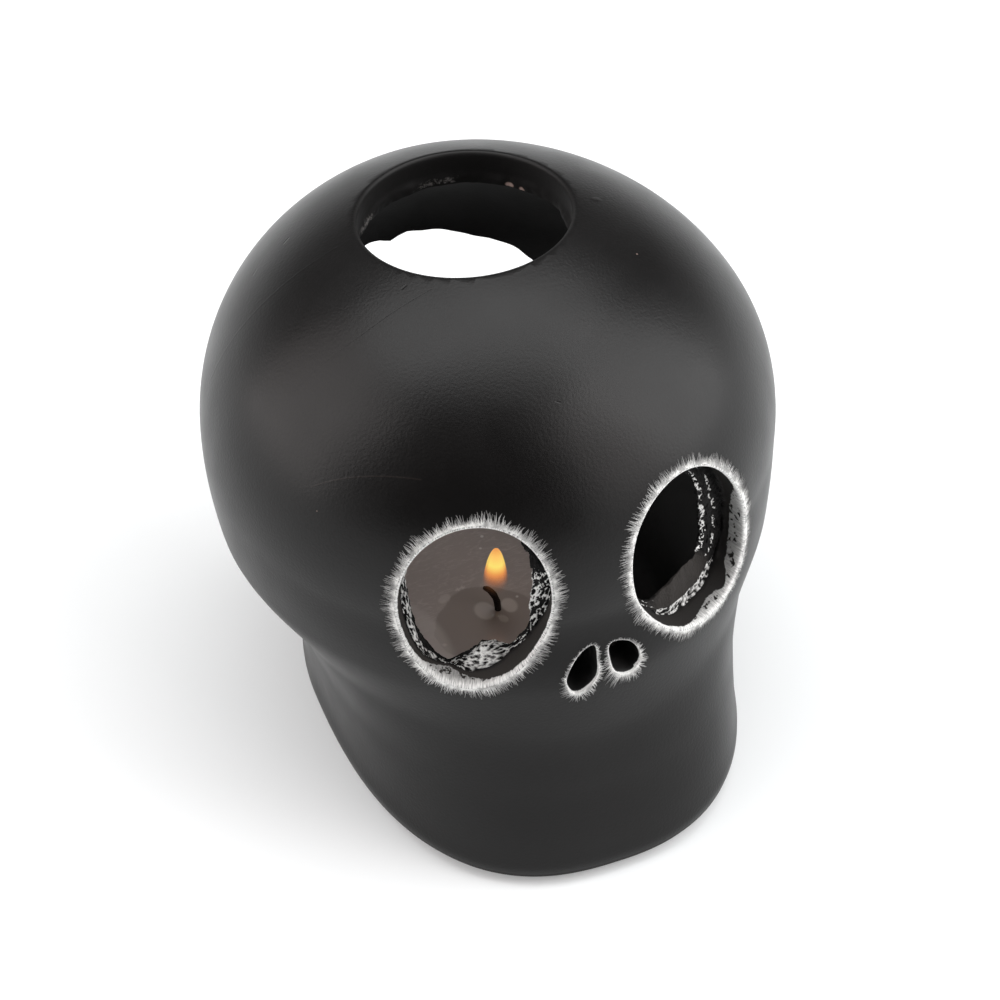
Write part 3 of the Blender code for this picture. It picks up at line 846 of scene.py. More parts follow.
# Inside the holes the silver runs on for a little way, with bare specks where it runs far. Its crumbly border
# and the specks, about 0.3 mm on the real clay, are drawn 1 mm and 1.6 mm apart so that they show.
speckle = add_node(
    tree, "ShaderNodeTexNoise", {"Vector": here, "Scale": 1.0 * PER_MM, "Detail": 3.0, "Roughness": 0.7}
)
inside = add_node(tree, "ShaderNodeMath", (brush_reach, run_in), operation="ADD")
inside = add_node(tree, "ShaderNodeMath", (speckle, 1.4, inside), operation="MULTIPLY_ADD")
wrapped = add_node(tree, "ShaderNodeMapRange", (inside, 0.62, 0.80))
specks = add_node(
    tree, "ShaderNodeTexNoise", {"Vector": here, "Scale": 0.62 * PER_MM, "Detail": 2.0, "Roughness": 0.6}
)
deep = add_node(tree, "ShaderNodeMapRange", (brush_reach, -1.2, -0.6, 0.0, 0.30))
specks = add_node(tree, "ShaderNodeMath", (specks, deep), operation="ADD")
unbroken = add_node(tree, "ShaderNodeMapRange", (specks, 0.38, 0.44))
wrapped = add_node(tree, "ShaderNodeMath", (wrapped, unbroken), operation="MULTIPLY")
rim_silver = add_node(tree, "ShaderNodeMath", (covered, wrapped), operation="MULTIPLY")

# Torn clay catches silver on its folds, broken up again by the grain.
broken = add_node(tree, "ShaderNodeMath", (speckle, 1.1, torn_silver), operation="MULTIPLY_ADD")
caught = add_node(tree, "ShaderNodeMapRange", (broken, 0.98, 1.14))
silver = add_node(tree, "ShaderNodeMath", (rim_silver, caught), operation="MAXIMUM")

# The silver's colour: deeper in a hole it is thinner and greyer. On torn clay it holds painted light: a
# painted highlight on the raised folds, and painted shade, dark grey, in the creases between them.
bristle_tone = add_node(tree, "ShaderNodeMapRange", (bristles, 0.35, 0.6))
thinner = add_node(tree, "ShaderNodeMapRange", (brush_reach, -2.4, -0.5, 0.62, 0.0))
torn_painted_light_colour = add_node(
    tree, "ShaderNodeMix", {"Factor": shine, "A": linear("#474645"), "B": linear("#efefed")}, data_type="RGBA"
)
silver_colour = linear("#a6a6a5")
thin_silver, full_silver = linear("#6f6e6d"), linear("#efefed")
for share, over in ((bristle_tone, full_silver), (thinner, thin_silver), (torn_clay, torn_painted_light_colour)):
    layer = {"Factor": share, "A": silver_colour, "B": over}
    silver_colour = add_node(tree, "ShaderNodeMix", layer, data_type="RGBA")

# Small marks left by making and handling. Each is its start and end in millimetres from the cranium's axis,
# half its width, how deep it goes, in tenths, and how much bare clay it shows. Those with no height run along
# the face, seen from above.
MARKS = (
    ((-31.0, 17.4, 0), (-64.0, 16.2, 0), 0.50, -0.18, 0.0),
    ((-17.0, -8.5, 0), (-35.0, -11.3, 0), 0.22, 0.20, 0.0),
    ((-35.0, -11.3, 0), (-57.0, -12.4, 0), 0.20, 0.13, 0.0),
    ((-54.7, -30.7, 0), (-33.2, -45.4, 0), 0.18, -0.07, 0.012),
    ((-39.6, 32.4, 118.4), (-38.2, 33.2, 119.0), 0.45, 0.9, 0.0),
    ((-48.2, 30.6, 112.7), (-47.2, 31.6, 113.1), 0.45, 0.7, 0.0),
    ((-22.8, -5.1, 131.4), (-21.8, -4.7, 131.6), 0.40, 0.9, 0.0),
    ((36.1, 35.3, 118.9), (37.3, 35.3, 118.8), 0.50, 0.9, 0.0),
    ((0.0, -43.4, 122.7), (0.8, -43.8, 122.5), 0.32, 0.5, 0.0),
    ((30.5, 10.1, 128.6), (31.3, 10.1, 128.4), 1.30, -0.6, 0.0),
    ((33.2, -9.8, 127.5), (33.4, -9.8, 127.5), 0.28, 0.0, 0.35),
    ((-54.8, -34.5, 98.5), (-54.6, -34.5, 98.5), 0.25, 0.0, 0.22),
    ((17.5, 33.5, 117.6), (18.5, 32.9, 117.8), 0.85, 0.3, 1.0),
    ((20.1, 30.6, 117.9), (20.6, 30.1, 117.2), 0.90, 0.3, 1.0),
)
BARE_GAIN = 1.6
mark_height = mark_bare = 0.0
for start, end, half_width, depth, shown in MARKS:
    upright = 1.0 if start[2] else 0.0
    start, end = Vector(start) / 1000 + AXIS, Vector(end) / 1000 + AXIS
    run = end - start
    moved = (here, (1.0, 1.0, upright), -start)
    offset = add_node(tree, "ShaderNodeVectorMath", moved, operation="MULTIPLY_ADD")
    onward = run / run.length_squared
    share = add_node(tree, "ShaderNodeVectorMath", (offset, onward), operation="DOT_PRODUCT")
    share = add_node(tree, "ShaderNodeClamp", {"Value": share, "Min": 0.0, "Max": 1.0})
    foot = add_node(tree, "ShaderNodeVectorMath", {0: run, "Scale": share}, operation="SCALE")
    apart = add_node(tree, "ShaderNodeVectorMath", (offset, foot), operation="DISTANCE")
    mark = add_node(
        tree, "ShaderNodeMapRange", (apart, 0.0, half_width / 1000, 1.0, 0.0), interpolation_type="SMOOTHSTEP"
    )
    mark_height = add_node(tree, "ShaderNodeMath", (mark, -depth, mark_height), operation="MULTIPLY_ADD")
    mark_bare = add_node(
        tree, "ShaderNodeMath", (mark, BARE_GAIN * shown, mark_bare), operation="MULTIPLY_ADD", use_clamp=True
    )

# Layers from the black paint up: painted light on the slumped slab and the eye walls, a grey that stands for
# black paint lit from above; clay dust on the crown hole's lower edge; bare clay in the marks; and the
# silver.
dust = add_node(tree, "ShaderNodeMath", (speckle, dusty), operation="MULTIPLY")
dust = add_node(tree, "ShaderNodeMapRange", (dust, 0.44, 0.64, 0.0, 0.5))
colour = linear("#0d0c0c")
for share, over in (
    (slab, linear("#2f2c2a")),
    (dust, linear("#8b8886")),
    (mark_bare, linear("#b39c93")),
    (silver, silver_colour),
):
    colour = add_node(tree, "ShaderNodeMix", {"Factor": share, "A": colour, "B": over}, data_type="RGBA")

# Cast clay's grain, about 0.3 mm, is drawn at 0.7 mm so that it shows. The paint's gloss varies over 11 mm.
grain = add_node(tree, "ShaderNodeTexNoise", {"Vector": here, "Scale": 1.4 * PER_MM, "Detail": 2.0})
mottle = add_node(tree, "ShaderNodeTexNoise", {"Vector": here, "Scale": 0.09 * PER_MM, "Detail": 3.0})
gloss = add_node(tree, "ShaderNodeMapRange", (mottle, 0.3, 0.7, 0.31, 0.36))
matt = add_node(tree, "ShaderNodeMath", (bare, 0.42, gloss), operation="MULTIPLY_ADD")
roughness = add_node(tree, "ShaderNodeMix", {"Factor": silver, "A": matt, "B": 0.5}, data_type="FLOAT")
crumbs = add_node(tree, "ShaderNodeMath", (speckle, torn_clay), operation="MULTIPLY")
normal = add_node(tree, "ShaderNodeBump", {"Height": mark_height, "Strength": 1.0, "Distance": 0.0001})
for height, strength, distance in ((grain, 0.22, 0.0002), (crumbs, 0.6, 0.0006)):
    relief = {"Height": height, "Strength": strength, "Distance": distance, "Normal": normal}
    normal = add_node(tree, "ShaderNodeBump", relief)
finish = {"Base Color": colour, "Roughness": roughness, "IOR": 1.32, "Normal": normal}
shader = add_node(tree, "ShaderNodeBsdfPrincipled", finish)
add_node(tree, "ShaderNodeOutputMaterial", {"Surface": shader})

mesh.materials.clear()
mesh.materials.append(satin_black)
mesh.shade_smooth()
mesh.set_sharp_from_angle(angle=math.radians(40))
mesh.transform(Matrix.Translation(AXIS))
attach(skull, "root")
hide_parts("skull_shell")


# Silver strokes
# Thin silver paint, dragged away from each eye and nostril with a nearly dry brush, so it ends in single
# bristle marks. Each mark is a flat tapered ridge of paint that lies on the clay.
def edge_path(name, rings):
    """Closed paths on the face with the way each stroke leaves them, from inner and outer outlines."""
    points, edges, away, facing, share = [], [], [], [], []
    for inner, outer, length_share in rings:
        first, count = len(points), len(inner)
        leave = outer - inner
        leave /= np.linalg.norm(leave, axis=1)[:, None]
        onward = np.roll(inner, -1, axis=0) - np.roll(inner, 1, axis=0)
        normal = np.cross(leave, onward)
        normal /= np.linalg.norm(normal, axis=1)[:, None]
        normal *= np.sign((normal * (inner - np.array([0, 0, EYE_HEIGHT]))).sum(axis=1))[:, None]
        points += list(inner + np.array(AXIS))
        away += list(leave)
        facing += list(normal)
        share += list(length_share)
        edges += [(first + index, first + (index + 1) % count) for index in range(count)]
    mesh = bpy.data.meshes.new(name)
    mesh.from_pydata([tuple(p) for p in points], edges, [])
    for key, kind, values in (
        ("away", "FLOAT_VECTOR", away),
        ("facing", "FLOAT_VECTOR", facing),
        ("length_share", "FLOAT", share),
    ):
        attribute = mesh.attributes.new(key, kind, "POINT")
        attribute.data.foreach_set("vector" if kind == "FLOAT_VECTOR" else "value", np.ravel(values))
    obj = bpy.data.objects.new(name, mesh)
    scene.collection.objects.link(obj)
    return obj


def on_face(flat, way):
    """Points on the outer face, seen along way from the plane through the axis."""
    return flat + way * face_distance(flat, way)[:, None]


painted_edges = []
for name in EYES:
    outward, _, _ = eye_frame(name)
    pair = [on_face(eye_outline(name, all_round(160), spread), outward) for spread in (0.0008, 0.0026)]
    painted_edges.append((*pair, np.ones(160)))
# How long the strokes round a nostril are, as a share of an eye's: at its top, and added at its foot
NOSTRIL_STROKES = {"left": (0.26, 0.85), "right": (0.26, 1.25)}
for name, (at_top, added) in NOSTRIL_STROKES.items():
    pair = [on_face(upright_plane(nostril_outline(name, spread)[0]), FORWARD) for spread in (0.0003, 0.0013)]
    height = pair[1][:, 2]
    painted_edges.append((*pair, at_top + added * ((height.max() - height) / np.ptp(height)) ** 2))
strokes = edge_path("silver_strokes", painted_edges)

tree = bpy.data.node_groups.new("silver_strokes", "GeometryNodeTree")
for name, kind, value in (
    ("Edge", "NodeSocketGeometry", None),
    ("Skull", "NodeSocketObject", None),
    ("Paint", "NodeSocketMaterial", None),
    ("Spacing", "NodeSocketFloat", 0.000075),
    ("Length", "NodeSocketFloat", 0.0032),
    ("Width", "NodeSocketFloat", 0.00006),
    ("Thickness", "NodeSocketFloat", 0.00004),
    ("Fan", "NodeSocketFloat", 0.16),
    ("Seed", "NodeSocketInt", 7),
):
    item = tree.interface.new_socket(name, in_out="INPUT", socket_type=kind)
    if value is not None:
        item.default_value = value
tree.interface.new_socket("Strokes", in_out="OUTPUT", socket_type="NodeSocketGeometry")
sizes = tree.nodes.new("NodeGroupInput").outputs
away, facing = (
    add_node(tree, "GeometryNodeInputNamedAttribute", {"Name": name}, data_type="FLOAT_VECTOR").outputs[0]
    for name in ("away", "facing")
)
length_share, bend, lift, gone = (
    add_node(tree, "GeometryNodeInputNamedAttribute", {"Name": name}, data_type="FLOAT").outputs[0]
    for name in ("length_share", "bend", "lift", "gone")
)
position = add_node(tree, "GeometryNodeInputPosition")
BEND_SEED, FAN_SEED = 41, 23
anyhow, bend_by, fan_by = (
    add_node(tree, "FunctionNodeRandomValue", {"Min": low, "Max": high, "Seed": seed}, data_type="FLOAT")
    for low, high, seed in ((0.0, 1.0, sizes["Seed"]), (-0.0006, 0.0006, BEND_SEED), (-1.0, 1.0, FAN_SEED))
)

# One stroke: a unit line that tapers to a point, flattened into a ridge
line = add_node(tree, "GeometryNodeCurvePrimitiveLine", {"End": (1.0, 0.0, 0.0)})
line = add_node(tree, "GeometryNodeResampleCurve", {"Curve": line, "Count": 5})
factor = add_node(tree, "GeometryNodeSplineParameter").outputs["Factor"]
taper = add_node(tree, "ShaderNodeMath", (1.02, factor), operation="SUBTRACT")
taper = add_node(tree, "ShaderNodeMath", (taper, 0.7), operation="POWER")
line = add_node(tree, "GeometryNodeSetCurveRadius", {"Curve": line, "Radius": taper})
profile = add_node(tree, "GeometryNodeCurvePrimitiveCircle", {"Resolution": 4, "Radius": 1.0})
swept = {"Curve": line, "Profile Curve": profile, "Fill Caps": True}
ridge = add_node(tree, "GeometryNodeCurveToMesh", swept)
parts = add_node(tree, "ShaderNodeSeparateXYZ", (position,)).outputs
rise = add_node(tree, "ShaderNodeMath", (parts["Z"], sizes["Thickness"]), operation="MULTIPLY")
for name, value in (("lift", rise), ("gone", parts["X"])):
    stored = {"Geometry": ridge, "Name": name, "Value": value}
    ridge = add_node(tree, "GeometryNodeStoreNamedAttribute", stored, data_type="FLOAT", domain="POINT")

# Points along the edges, one for each stroke. The hand pressed unevenly, so strokes lie in 4 mm clumps.
CLUMP_SCALE = 260.0
path = add_node(tree, "GeometryNodeMeshToCurve", {"Mesh": sizes["Edge"]})
path = add_node(tree, "GeometryNodeResampleCurve", {"Curve": path, "Length": sizes["Spacing"]}, mode="LENGTH")
stored = {"Geometry": path, "Name": "bend", "Value": bend_by}
path = add_node(tree, "GeometryNodeStoreNamedAttribute", stored, data_type="FLOAT", domain="POINT")
clump = add_node(tree, "ShaderNodeTexNoise", {"Vector": position, "Scale": CLUMP_SCALE, "Detail": 1.0})
clump_length = add_node(tree, "ShaderNodeMath", (clump, 1.0, 0.5), operation="MULTIPLY_ADD")
length = add_node(tree, "ShaderNodeMath", (anyhow, 1.9), operation="POWER")
length = add_node(tree, "ShaderNodeMath", (length, 0.72, 0.30), operation="MULTIPLY_ADD")
for factor in (sizes["Length"], length_share, clump_length):
    length = add_node(tree, "ShaderNodeMath", (length, factor), operation="MULTIPLY")
fan = add_node(tree, "ShaderNodeMath", (fan_by, sizes["Fan"]), operation="MULTIPLY")
clump_turn = add_node(tree, "ShaderNodeMath", (clump, 0.9, -0.45), operation="MULTIPLY_ADD")
fan = add_node(tree, "ShaderNodeMath", (fan, clump_turn), operation="ADD")
turned = {"Vector": away, "Axis": facing, "Angle": fan}
along = add_node(tree, "ShaderNodeVectorRotate", turned, rotation_type="AXIS_ANGLE")
turn = add_node(tree, "FunctionNodeAlignRotationToVector", {"Vector": along}, axis="X")
upright = {"Rotation": turn, "Vector": facing}
turn = add_node(tree, "FunctionNodeAlignRotationToVector", upright, axis="Z", pivot_axis="X")
scale = add_node(tree, "ShaderNodeCombineXYZ", (length, sizes["Width"], sizes["Thickness"]))
laid = {"Points": path, "Instance": ridge, "Rotation": turn, "Scale": scale}
laid = add_node(tree, "GeometryNodeInstanceOnPoints", laid)
laid = add_node(tree, "GeometryNodeRealizeInstances", {"Geometry": laid})

# Each stroke curves a little, and is pressed down on to the clay
sideways = add_node(tree, "ShaderNodeVectorMath", (facing, away), operation="CROSS_PRODUCT")
curved = add_node(tree, "ShaderNodeMath", (gone, gone), operation="MULTIPLY")
curved = add_node(tree, "ShaderNodeMath", (bend, curved), operation="MULTIPLY")
aside = add_node(tree, "ShaderNodeVectorMath", {0: sideways, "Scale": curved}, operation="SCALE")
spot = add_node(tree, "ShaderNodeVectorMath", (position, aside), operation="ADD")
clay = add_node(tree, "GeometryNodeObjectInfo", {"Object": sizes["Skull"]}).outputs["Geometry"]
on_clay = {"Geometry": clay, "Sample Position": spot}
on_clay = add_node(tree, "GeometryNodeProximity", on_clay, target_element="FACES").outputs["Position"]
normal = {"Mesh": clay, "Value": add_node(tree, "GeometryNodeInputNormal"), "Sample Position": spot}
normal = add_node(tree, "GeometryNodeSampleNearestSurface", normal, data_type="FLOAT_VECTOR").outputs["Value"]
height = add_node(tree, "ShaderNodeMath", (lift, sizes["Thickness"]), operation="ADD")
raised = add_node(tree, "ShaderNodeVectorMath", {0: normal, "Scale": height}, operation="SCALE")
pressed = add_node(tree, "ShaderNodeVectorMath", (on_clay, raised), operation="ADD")
laid = add_node(tree, "GeometryNodeSetPosition", {"Geometry": laid, "Position": pressed})
laid = add_node(tree, "GeometryNodeSetMaterial", {"Geometry": laid, "Material": sizes["Paint"]})
add_node(tree, "NodeGroupOutput", {"Strokes": laid})

# Dry-brushed aluminium paint: pale flakes in a thin binder, so it looks nearly white, with a faint metal
# gloss. It is patchy over 2.4 mm, and wears down to the black at the end of each stroke.
silver_paint, shade = new_material("dry_brushed_silver_paint")
gone = add_node(shade, "ShaderNodeAttribute", attribute_name="gone").outputs["Fac"]
thinned = add_node(shade, "ShaderNodeMapRange", (gone, 0.30, 1.0, 0.0, 0.9))
here = add_node(shade, "ShaderNodeTexCoord").outputs["Object"]
patches = add_node(shade, "ShaderNodeTexNoise", {"Vector": here, "Scale": 0.42 * PER_MM, "Detail": 2.0})
patches = add_node(shade, "ShaderNodeMapRange", (patches, 0.38, 0.60))
tone = linear("#adadac")
for share, over in ((patches, "#f3f3f1"), (thinned, "#4c4b4b")):
    tone = add_node(shade, "ShaderNodeMix", {"Factor": share, "A": tone, "B": linear(over)}, data_type="RGBA")
finish = {"Base Color": tone, "Roughness": 0.45, "Metallic": 0.15}
shader = add_node(shade, "ShaderNodeBsdfPrincipled", finish)
add_node(shade, "ShaderNodeOutputMaterial", {"Surface": shader})


def set_tree(obj, tree, **values):
    """Puts a Geometry Nodes tree on an object and fills its named inputs."""
    modifier = obj.modifiers.new(tree.name, "NODES")
    modifier.node_group = tree
    for item in tree.interface.items_tree:
        if item.name in values:
            modifier[item.identifier] = values[item.name]


set_tree(strokes, tree, Skull=skull, Paint=silver_paint)
strokes = as_plain_mesh(strokes, "silver_strokes")
strokes.data.shade_smooth()
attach(strokes, "root")

# Candle
# The stub of a poured paraffin pillar, dull and scratched, with a clear shallow pool of melted wax round the
# wick. It stands free on the skull's floor.
WAX_RADIUS = (wax_high.x - wax_low.x) / 2
WAX_EDGE_ROUND = 0.0016
POOL_MIDDLE = (-0.0036, -0.0041)
POOL_RADIUS = 0.0132
POOL_DEPTH = 0.0003
UNDER_BOX = 0.0001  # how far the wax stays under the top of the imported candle, so that its dents fit there
WAX_AROUND = 240
WAX_EDGE_STEPS = 6


def beyond_shore(points):
    """How far each point is outside the pool's wandering shore."""
    flat = points * np.array([1, 1, 0])
    shore = POOL_RADIUS + 0.0011 * rough(flat, 0.009, 2.6) + 0.0004 * rough(flat, 0.003, 8.2)
    return np.hypot(points[:, 0] - POOL_MIDDLE[0], points[:, 1] - POOL_MIDDLE[1]) - shore


def wax_height(x, y):
    """The wax surface, from the candle's top edge down into the pool, and up a little at the wick."""
    flat = np.stack([x, y, np.zeros_like(x)], axis=1)
    pool = 1 - smooth_step(-0.0050, 0.0010, beyond_shore(flat))
    dents = 0.00010 * rough(flat, 0.006, 5.5) + 0.00005 * rough(flat, 0.0018, 3.3)
    climb = 0.0007 * np.exp(-((np.hypot(x, y) / 0.0013) ** 2))
    return wax_high.z - POOL_DEPTH * pool + dents * (1 - pool) + climb - UNDER_BOX


middle_radii = np.linspace(0.0004, 0.0060, 16)
top_radii = np.concatenate([middle_radii, np.linspace(0.0065, WAX_RADIUS - WAX_EDGE_ROUND, 46)])
angle = all_round(WAX_AROUND)
rings = []
SIDE = ((WAX_RADIUS * 0.97, wax_low.z), (WAX_RADIUS, wax_low.z + 0.0008), (WAX_RADIUS, wax_low.z + 0.009))
for radius, height in SIDE:
    rings.append(oval_points(angle, radius, radius, height))
for step in range(WAX_EDGE_STEPS + 1):
    bend = step / WAX_EDGE_STEPS * math.pi / 2
    radius = WAX_RADIUS - WAX_EDGE_ROUND * (1 - math.cos(bend))
    height = wax_high.z - UNDER_BOX - WAX_EDGE_ROUND * (1 - math.sin(bend))
    rings.append(oval_points(angle, radius, radius, height))
for radius in top_radii[::-1][1:]:
    x, y = radius * np.cos(angle), radius * np.sin(angle)
    rings.append(np.stack([x, y, wax_height(x, y)], axis=1))
peak = wax_height(np.zeros(1), np.zeros(1))[0]
wax = flip_if_inside_out(loft("candle", rings, (0, 0, peak)))
wax.data.transform(Matrix.Translation((candle_middle.x, candle_middle.y, 0)))
candle_points = points_of(wax) - np.array([candle_middle.x, candle_middle.y, 0])
pool_share = 1 - smooth_step(-0.0003, 0.0004, beyond_shore(candle_points))
# Paler patches on the top. The two ovals beside the wick are painted reflections of light on the melted pool;
# the rest are crumbs and runs of set wax further out. Each is X and Y from the wick, half length, half width,
# turn and how white it is.
SET_WAX_AND_REFLECTIONS = (
    (-0.0031, 0.0011, 0.0024, 0.0030, 0.2, 0.75),
    (0.0033, 0.0006, 0.0019, 0.0024, 0.2, 0.75),
    (0.0004, -0.0030, 0.0010, 0.0013, 0.6, 0.5),
    (-0.0238, -0.0010, 0.0082, 0.0150, 0.25, 0.55),
    (-0.0112, 0.0082, 0.0018, 0.0012, 0.5, 0.55),
    (-0.0064, 0.0100, 0.0014, 0.0004, 0.2, 1.0),
    (-0.0165, -0.0060, 0.0006, 0.0006, 0.0, 1.0),
    (-0.0135, -0.0115, 0.0011, 0.0008, 0.4, 0.8),
    (-0.0100, -0.0160, 0.0030, 0.0007, -0.3, 0.6),
)
set_wax_and_reflection_share = np.zeros(len(candle_points))
for x, y, half_length, half_width, turn, amount in SET_WAX_AND_REFLECTIONS:
    dx, dy = candle_points[:, 0] - x, candle_points[:, 1] - y
    along = dx * math.cos(turn) + dy * math.sin(turn)
    across = -dx * math.sin(turn) + dy * math.cos(turn)
    oval = np.hypot(along / half_length, across / half_width)
    on_top = candle_points[:, 2] > wax_high.z / 2
    set_wax_and_reflection_share = np.maximum(set_wax_and_reflection_share, amount * (1 - smooth_step(0.85, 1.15, oval)) * on_top)
for name, values in (("melted", pool_share), ("set_wax", set_wax_and_reflection_share)):
    attribute = wax.data.attributes.new(name, "FLOAT", "POINT")
    attribute.data.foreach_set("value", values)

# Grey paraffin wax: dull and finely scratched where it is set, in scratches 5 mm long and 1.5 mm apart, with
# pale flecks 6 mm apart. The melted pool is darker and glossy.
grey_wax, tree = new_material("grey_paraffin_wax")
here = add_node(tree, "ShaderNodeTexCoord").outputs["Object"]
melted, set_wax = (
    add_node(tree, "ShaderNodeAttribute", attribute_name=name).outputs["Fac"]
    for name in ("melted", "set_wax")
)
drawn = add_node(tree, "ShaderNodeMapping", {"Vector": here, "Rotation": (0, 0, -0.9), "Scale": (1, 3.2, 1)})
scratches = add_node(
    tree,
    "ShaderNodeTexNoise",
    {"Vector": drawn, "Scale": 0.21 * PER_MM, "Detail": 4.0, "Roughness": 0.75, "Distortion": 1.6},
)
streak = add_node(tree, "ShaderNodeMapRange", (scratches, 0.50, 0.78, 0.0, 0.7))
dry = add_node(tree, "ShaderNodeMath", (1.0, melted), operation="SUBTRACT")
streak = add_node(tree, "ShaderNodeMath", (streak, dry), operation="MULTIPLY")
flecks = add_node(tree, "ShaderNodeTexVoronoi", {"Vector": here, "Scale": 0.16 * PER_MM})
fleck = add_node(tree, "ShaderNodeMapRange", (flecks, 0.05, 0.09, 0.75, 0.0))
colour = linear("#b3a59f")
# The paler layer holds set wax and, beside the wick, two painted reflections of light on the pool
for share, over in ((streak, "#d9cdc8"), (melted, "#a79b95"), (set_wax, "#d3c8c2"), (fleck, "#eee8e4")):
    layer = {"Factor": share, "A": colour, "B": linear(over)}
    colour = add_node(tree, "ShaderNodeMix", layer, data_type="RGBA")
gloss = add_node(tree, "ShaderNodeMapRange", (melted, 0.0, 1.0, 0.48, 0.10))
bump = add_node(tree, "ShaderNodeBump", {"Height": streak, "Strength": 0.25, "Distance": 0.0003})
finish = {"Base Color": colour, "Roughness": gloss, "IOR": 1.44, "Normal": bump}
shader = add_node(tree, "ShaderNodeBsdfPrincipled", finish)
add_node(tree, "ShaderNodeOutputMaterial", {"Surface": shader})
wax.data.materials.append(grey_wax)
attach(wax, "root")
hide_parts("candle_wax")

# Wick
# Braided cotton, charred black, standing in the pool and curled over by the heat.
WICK_RADIUS = 0.00085
CHAR_PER_METRE, CHAR_DEPTH = 900, 0.00009
# X, Y and Z from the wick's foot, and the share of its radius
WICK_PATH = (
    (0.0, 0.0, -0.0040, 1.0),
    (0.0, 0.0, 0.0, 1.0),
    (0.0001, 0.0002, 0.0020, 1.02),
    (-0.0001, 0.0005, 0.0040, 1.0),
    (-0.0008, 0.0009, 0.0060, 0.98),
    (-0.0017, 0.0012, 0.0075, 0.92),
    (-0.0026, 0.0013, 0.0085, 0.82),
    (-0.0032, 0.0013, 0.0089, 0.50),
)
wick_foot = Vector((candle_middle.x, candle_middle.y, wax_high.z - 0.0008))
curve = bpy.data.curves.new("wick_path", "CURVE")
curve.dimensions = "3D"
spline = curve.splines.new("NURBS")
spline.points.add(len(WICK_PATH) - 1)
for point, (x, y, z, radius) in zip(spline.points, WICK_PATH):
    point.co = (*(wick_foot + Vector((x, y, z))), 1.0)
    point.radius = radius
spline.order_u = 3
spline.use_endpoint_u = True
spline.resolution_u = 8
curve.bevel_depth = WICK_RADIUS
curve.bevel_resolution = 5
curve.use_fill_caps = True
wick = bpy.data.objects.new("wick_path", curve)
scene.collection.objects.link(wick)
wick = as_plain_mesh(wick, "wick")
wick.data.materials.clear()
for vertex in wick.data.vertices:
    vertex.co += vertex.normal * noise.noise(vertex.co * CHAR_PER_METRE) * CHAR_DEPTH
# Charred braided cotton: dull brown-black, with the slanting ribs of the braid, 0.7 mm apart, as fine relief
charred_cotton, tree = new_material("charred_braided_cotton")
here = add_node(tree, "ShaderNodeTexCoord").outputs["Object"]
BRAID_SCALE = 0.9 * PER_MM
braid = add_node(
    tree,
    "ShaderNodeTexWave",
    {"Vector": here, "Scale": BRAID_SCALE, "Distortion": 3.0, "Detail": 2.0},
    bands_direction="DIAGONAL",
).outputs["Fac"]
tone = add_node(
    tree, "ShaderNodeMix", {"Factor": braid, "A": linear("#17100d"), "B": linear("#2e211c")}, data_type="RGBA"
)
bump = add_node(tree, "ShaderNodeBump", {"Height": braid, "Strength": 0.6, "Distance": 0.0002})
shader = add_node(tree, "ShaderNodeBsdfPrincipled", {"Base Color": tone, "Roughness": 0.85, "Normal": bump})
add_node(tree, "ShaderNodeOutputMaterial", {"Surface": shader})
wick.data.materials.append(charred_cotton)
wick.data.shade_smooth()
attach(wick, "root")
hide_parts("candle_wick")

# Flame
# A still candle flame: clear just above the wick, then orange, and yellow in the upper body. It is light, so
# it has no CAD solid.
FLAME_FOOT = 0.0064
FLAME_TIP = 0.0229
FLAME_RADIUS = 0.00325
FLAME_AROUND, FLAME_RINGS = 40, 36
FLAME_LEAN = 0.0003
FLAME_MIDDLE = wick_foot + Vector((-0.0004, 0.0006, 0.0))


def flame_body(name, shrink, foot, tip, material):
    """A long drop round an upright axis: blunt at the tip, widest low down, and closed flat below."""
    rings = []
    angle = all_round(FLAME_AROUND)
    for step in range(FLAME_RINGS):
        rise = math.sin(step / FLAME_RINGS * math.pi / 2)
        radius = FLAME_RADIUS * shrink * math.sin(math.pi / 2 * (1 - rise)) ** 0.5
        lean = np.array([FLAME_LEAN * rise * rise, 0, 0])
        rings.append(oval_points(angle, radius, radius, foot + (tip - foot) * rise) + lean)
    body = flip_if_inside_out(loft(name, rings, (FLAME_LEAN, 0, tip), material))
    body.data.transform(Matrix.Translation(FLAME_MIDDLE))
    return body


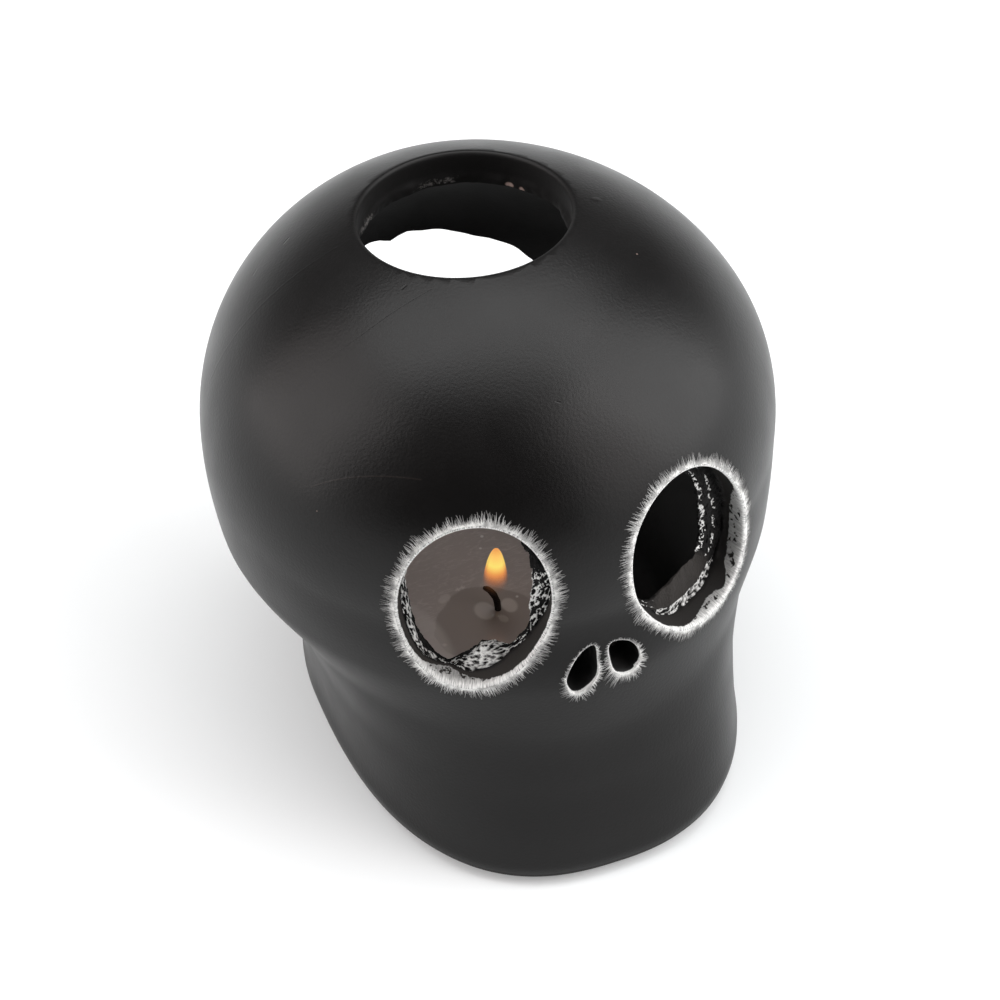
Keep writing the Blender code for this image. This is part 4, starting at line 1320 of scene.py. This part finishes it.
def flame_glow(name, colours, solidity):
    """Glowing gas and soot, by height up the flame: its colours, and how far it hides what is behind it."""
    material, tree = new_material(name)
    here = add_node(tree, "ShaderNodeTexCoord").outputs["Object"]
    height = add_node(tree, "ShaderNodeSeparateXYZ", (here,)).outputs["Z"]
    foot, tip = FLAME_MIDDLE.z + FLAME_FOOT, FLAME_MIDDLE.z + FLAME_TIP
    rise = add_node(tree, "ShaderNodeMapRange", (height, foot, tip))
    ramps = []
    for rows in (colours, solidity):
        ramp = add_node(tree, "ShaderNodeValToRGB", (rise,))
        elements = ramp.color_ramp.elements
        while len(elements) < len(rows):
            elements.new(0.5)
        for element, (position, colour) in zip(elements, rows):
            element.position = position
            element.color = linear(colour) if isinstance(colour, str) else (colour, colour, colour, 1.0)
        ramps.append(ramp)
    glow = add_node(tree, "ShaderNodeEmission", {"Color": ramps[0], "Strength": 1.0})
    nothing = add_node(tree, "ShaderNodeBsdfTransparent")
    mix = add_node(tree, "ShaderNodeMixShader", (ramps[1], nothing, glow))
    add_node(tree, "ShaderNodeOutputMaterial", {"Surface": mix})
    return material


# A candle's flame is clear over the wick, orange above that, and yellow and nearly solid in its upper body.
FOOT_COLOURS = ((0.0, "#7a5a50"), (0.28, "#a0683f"), (0.41, "#dc7f44"))
FOOT_SOLIDITY = ((0.18, 0.0), (0.31, 0.07), (0.42, 0.20))
mantle_glow = flame_glow(
    "flame_mantle",
    (*FOOT_COLOURS, (0.56, "#fb9c50"), (0.73, "#ffe474"), (0.90, "#fdc068"), (1.0, "#f09c56")),
    (*FOOT_SOLIDITY, (0.54, 0.50), (0.66, 0.72), (1.0, 0.78)),
)
core_glow = flame_glow(
    "flame_core",
    (*FOOT_COLOURS, (0.56, "#fda252"), (0.73, "#fff07e"), (0.90, "#ffd26c"), (1.0, "#f8ae5a")),
    (*FOOT_SOLIDITY, (0.54, 0.56), (0.66, 0.85), (1.0, 0.85)),
)
flame = flame_body("flame_mantle", 1.0, FLAME_FOOT, FLAME_TIP, mantle_glow)
core = flame_body("flame_core", 0.80, FLAME_FOOT + 0.0002, FLAME_TIP - 0.0011, core_glow)
for body in (flame, core):
    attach(body, "root")
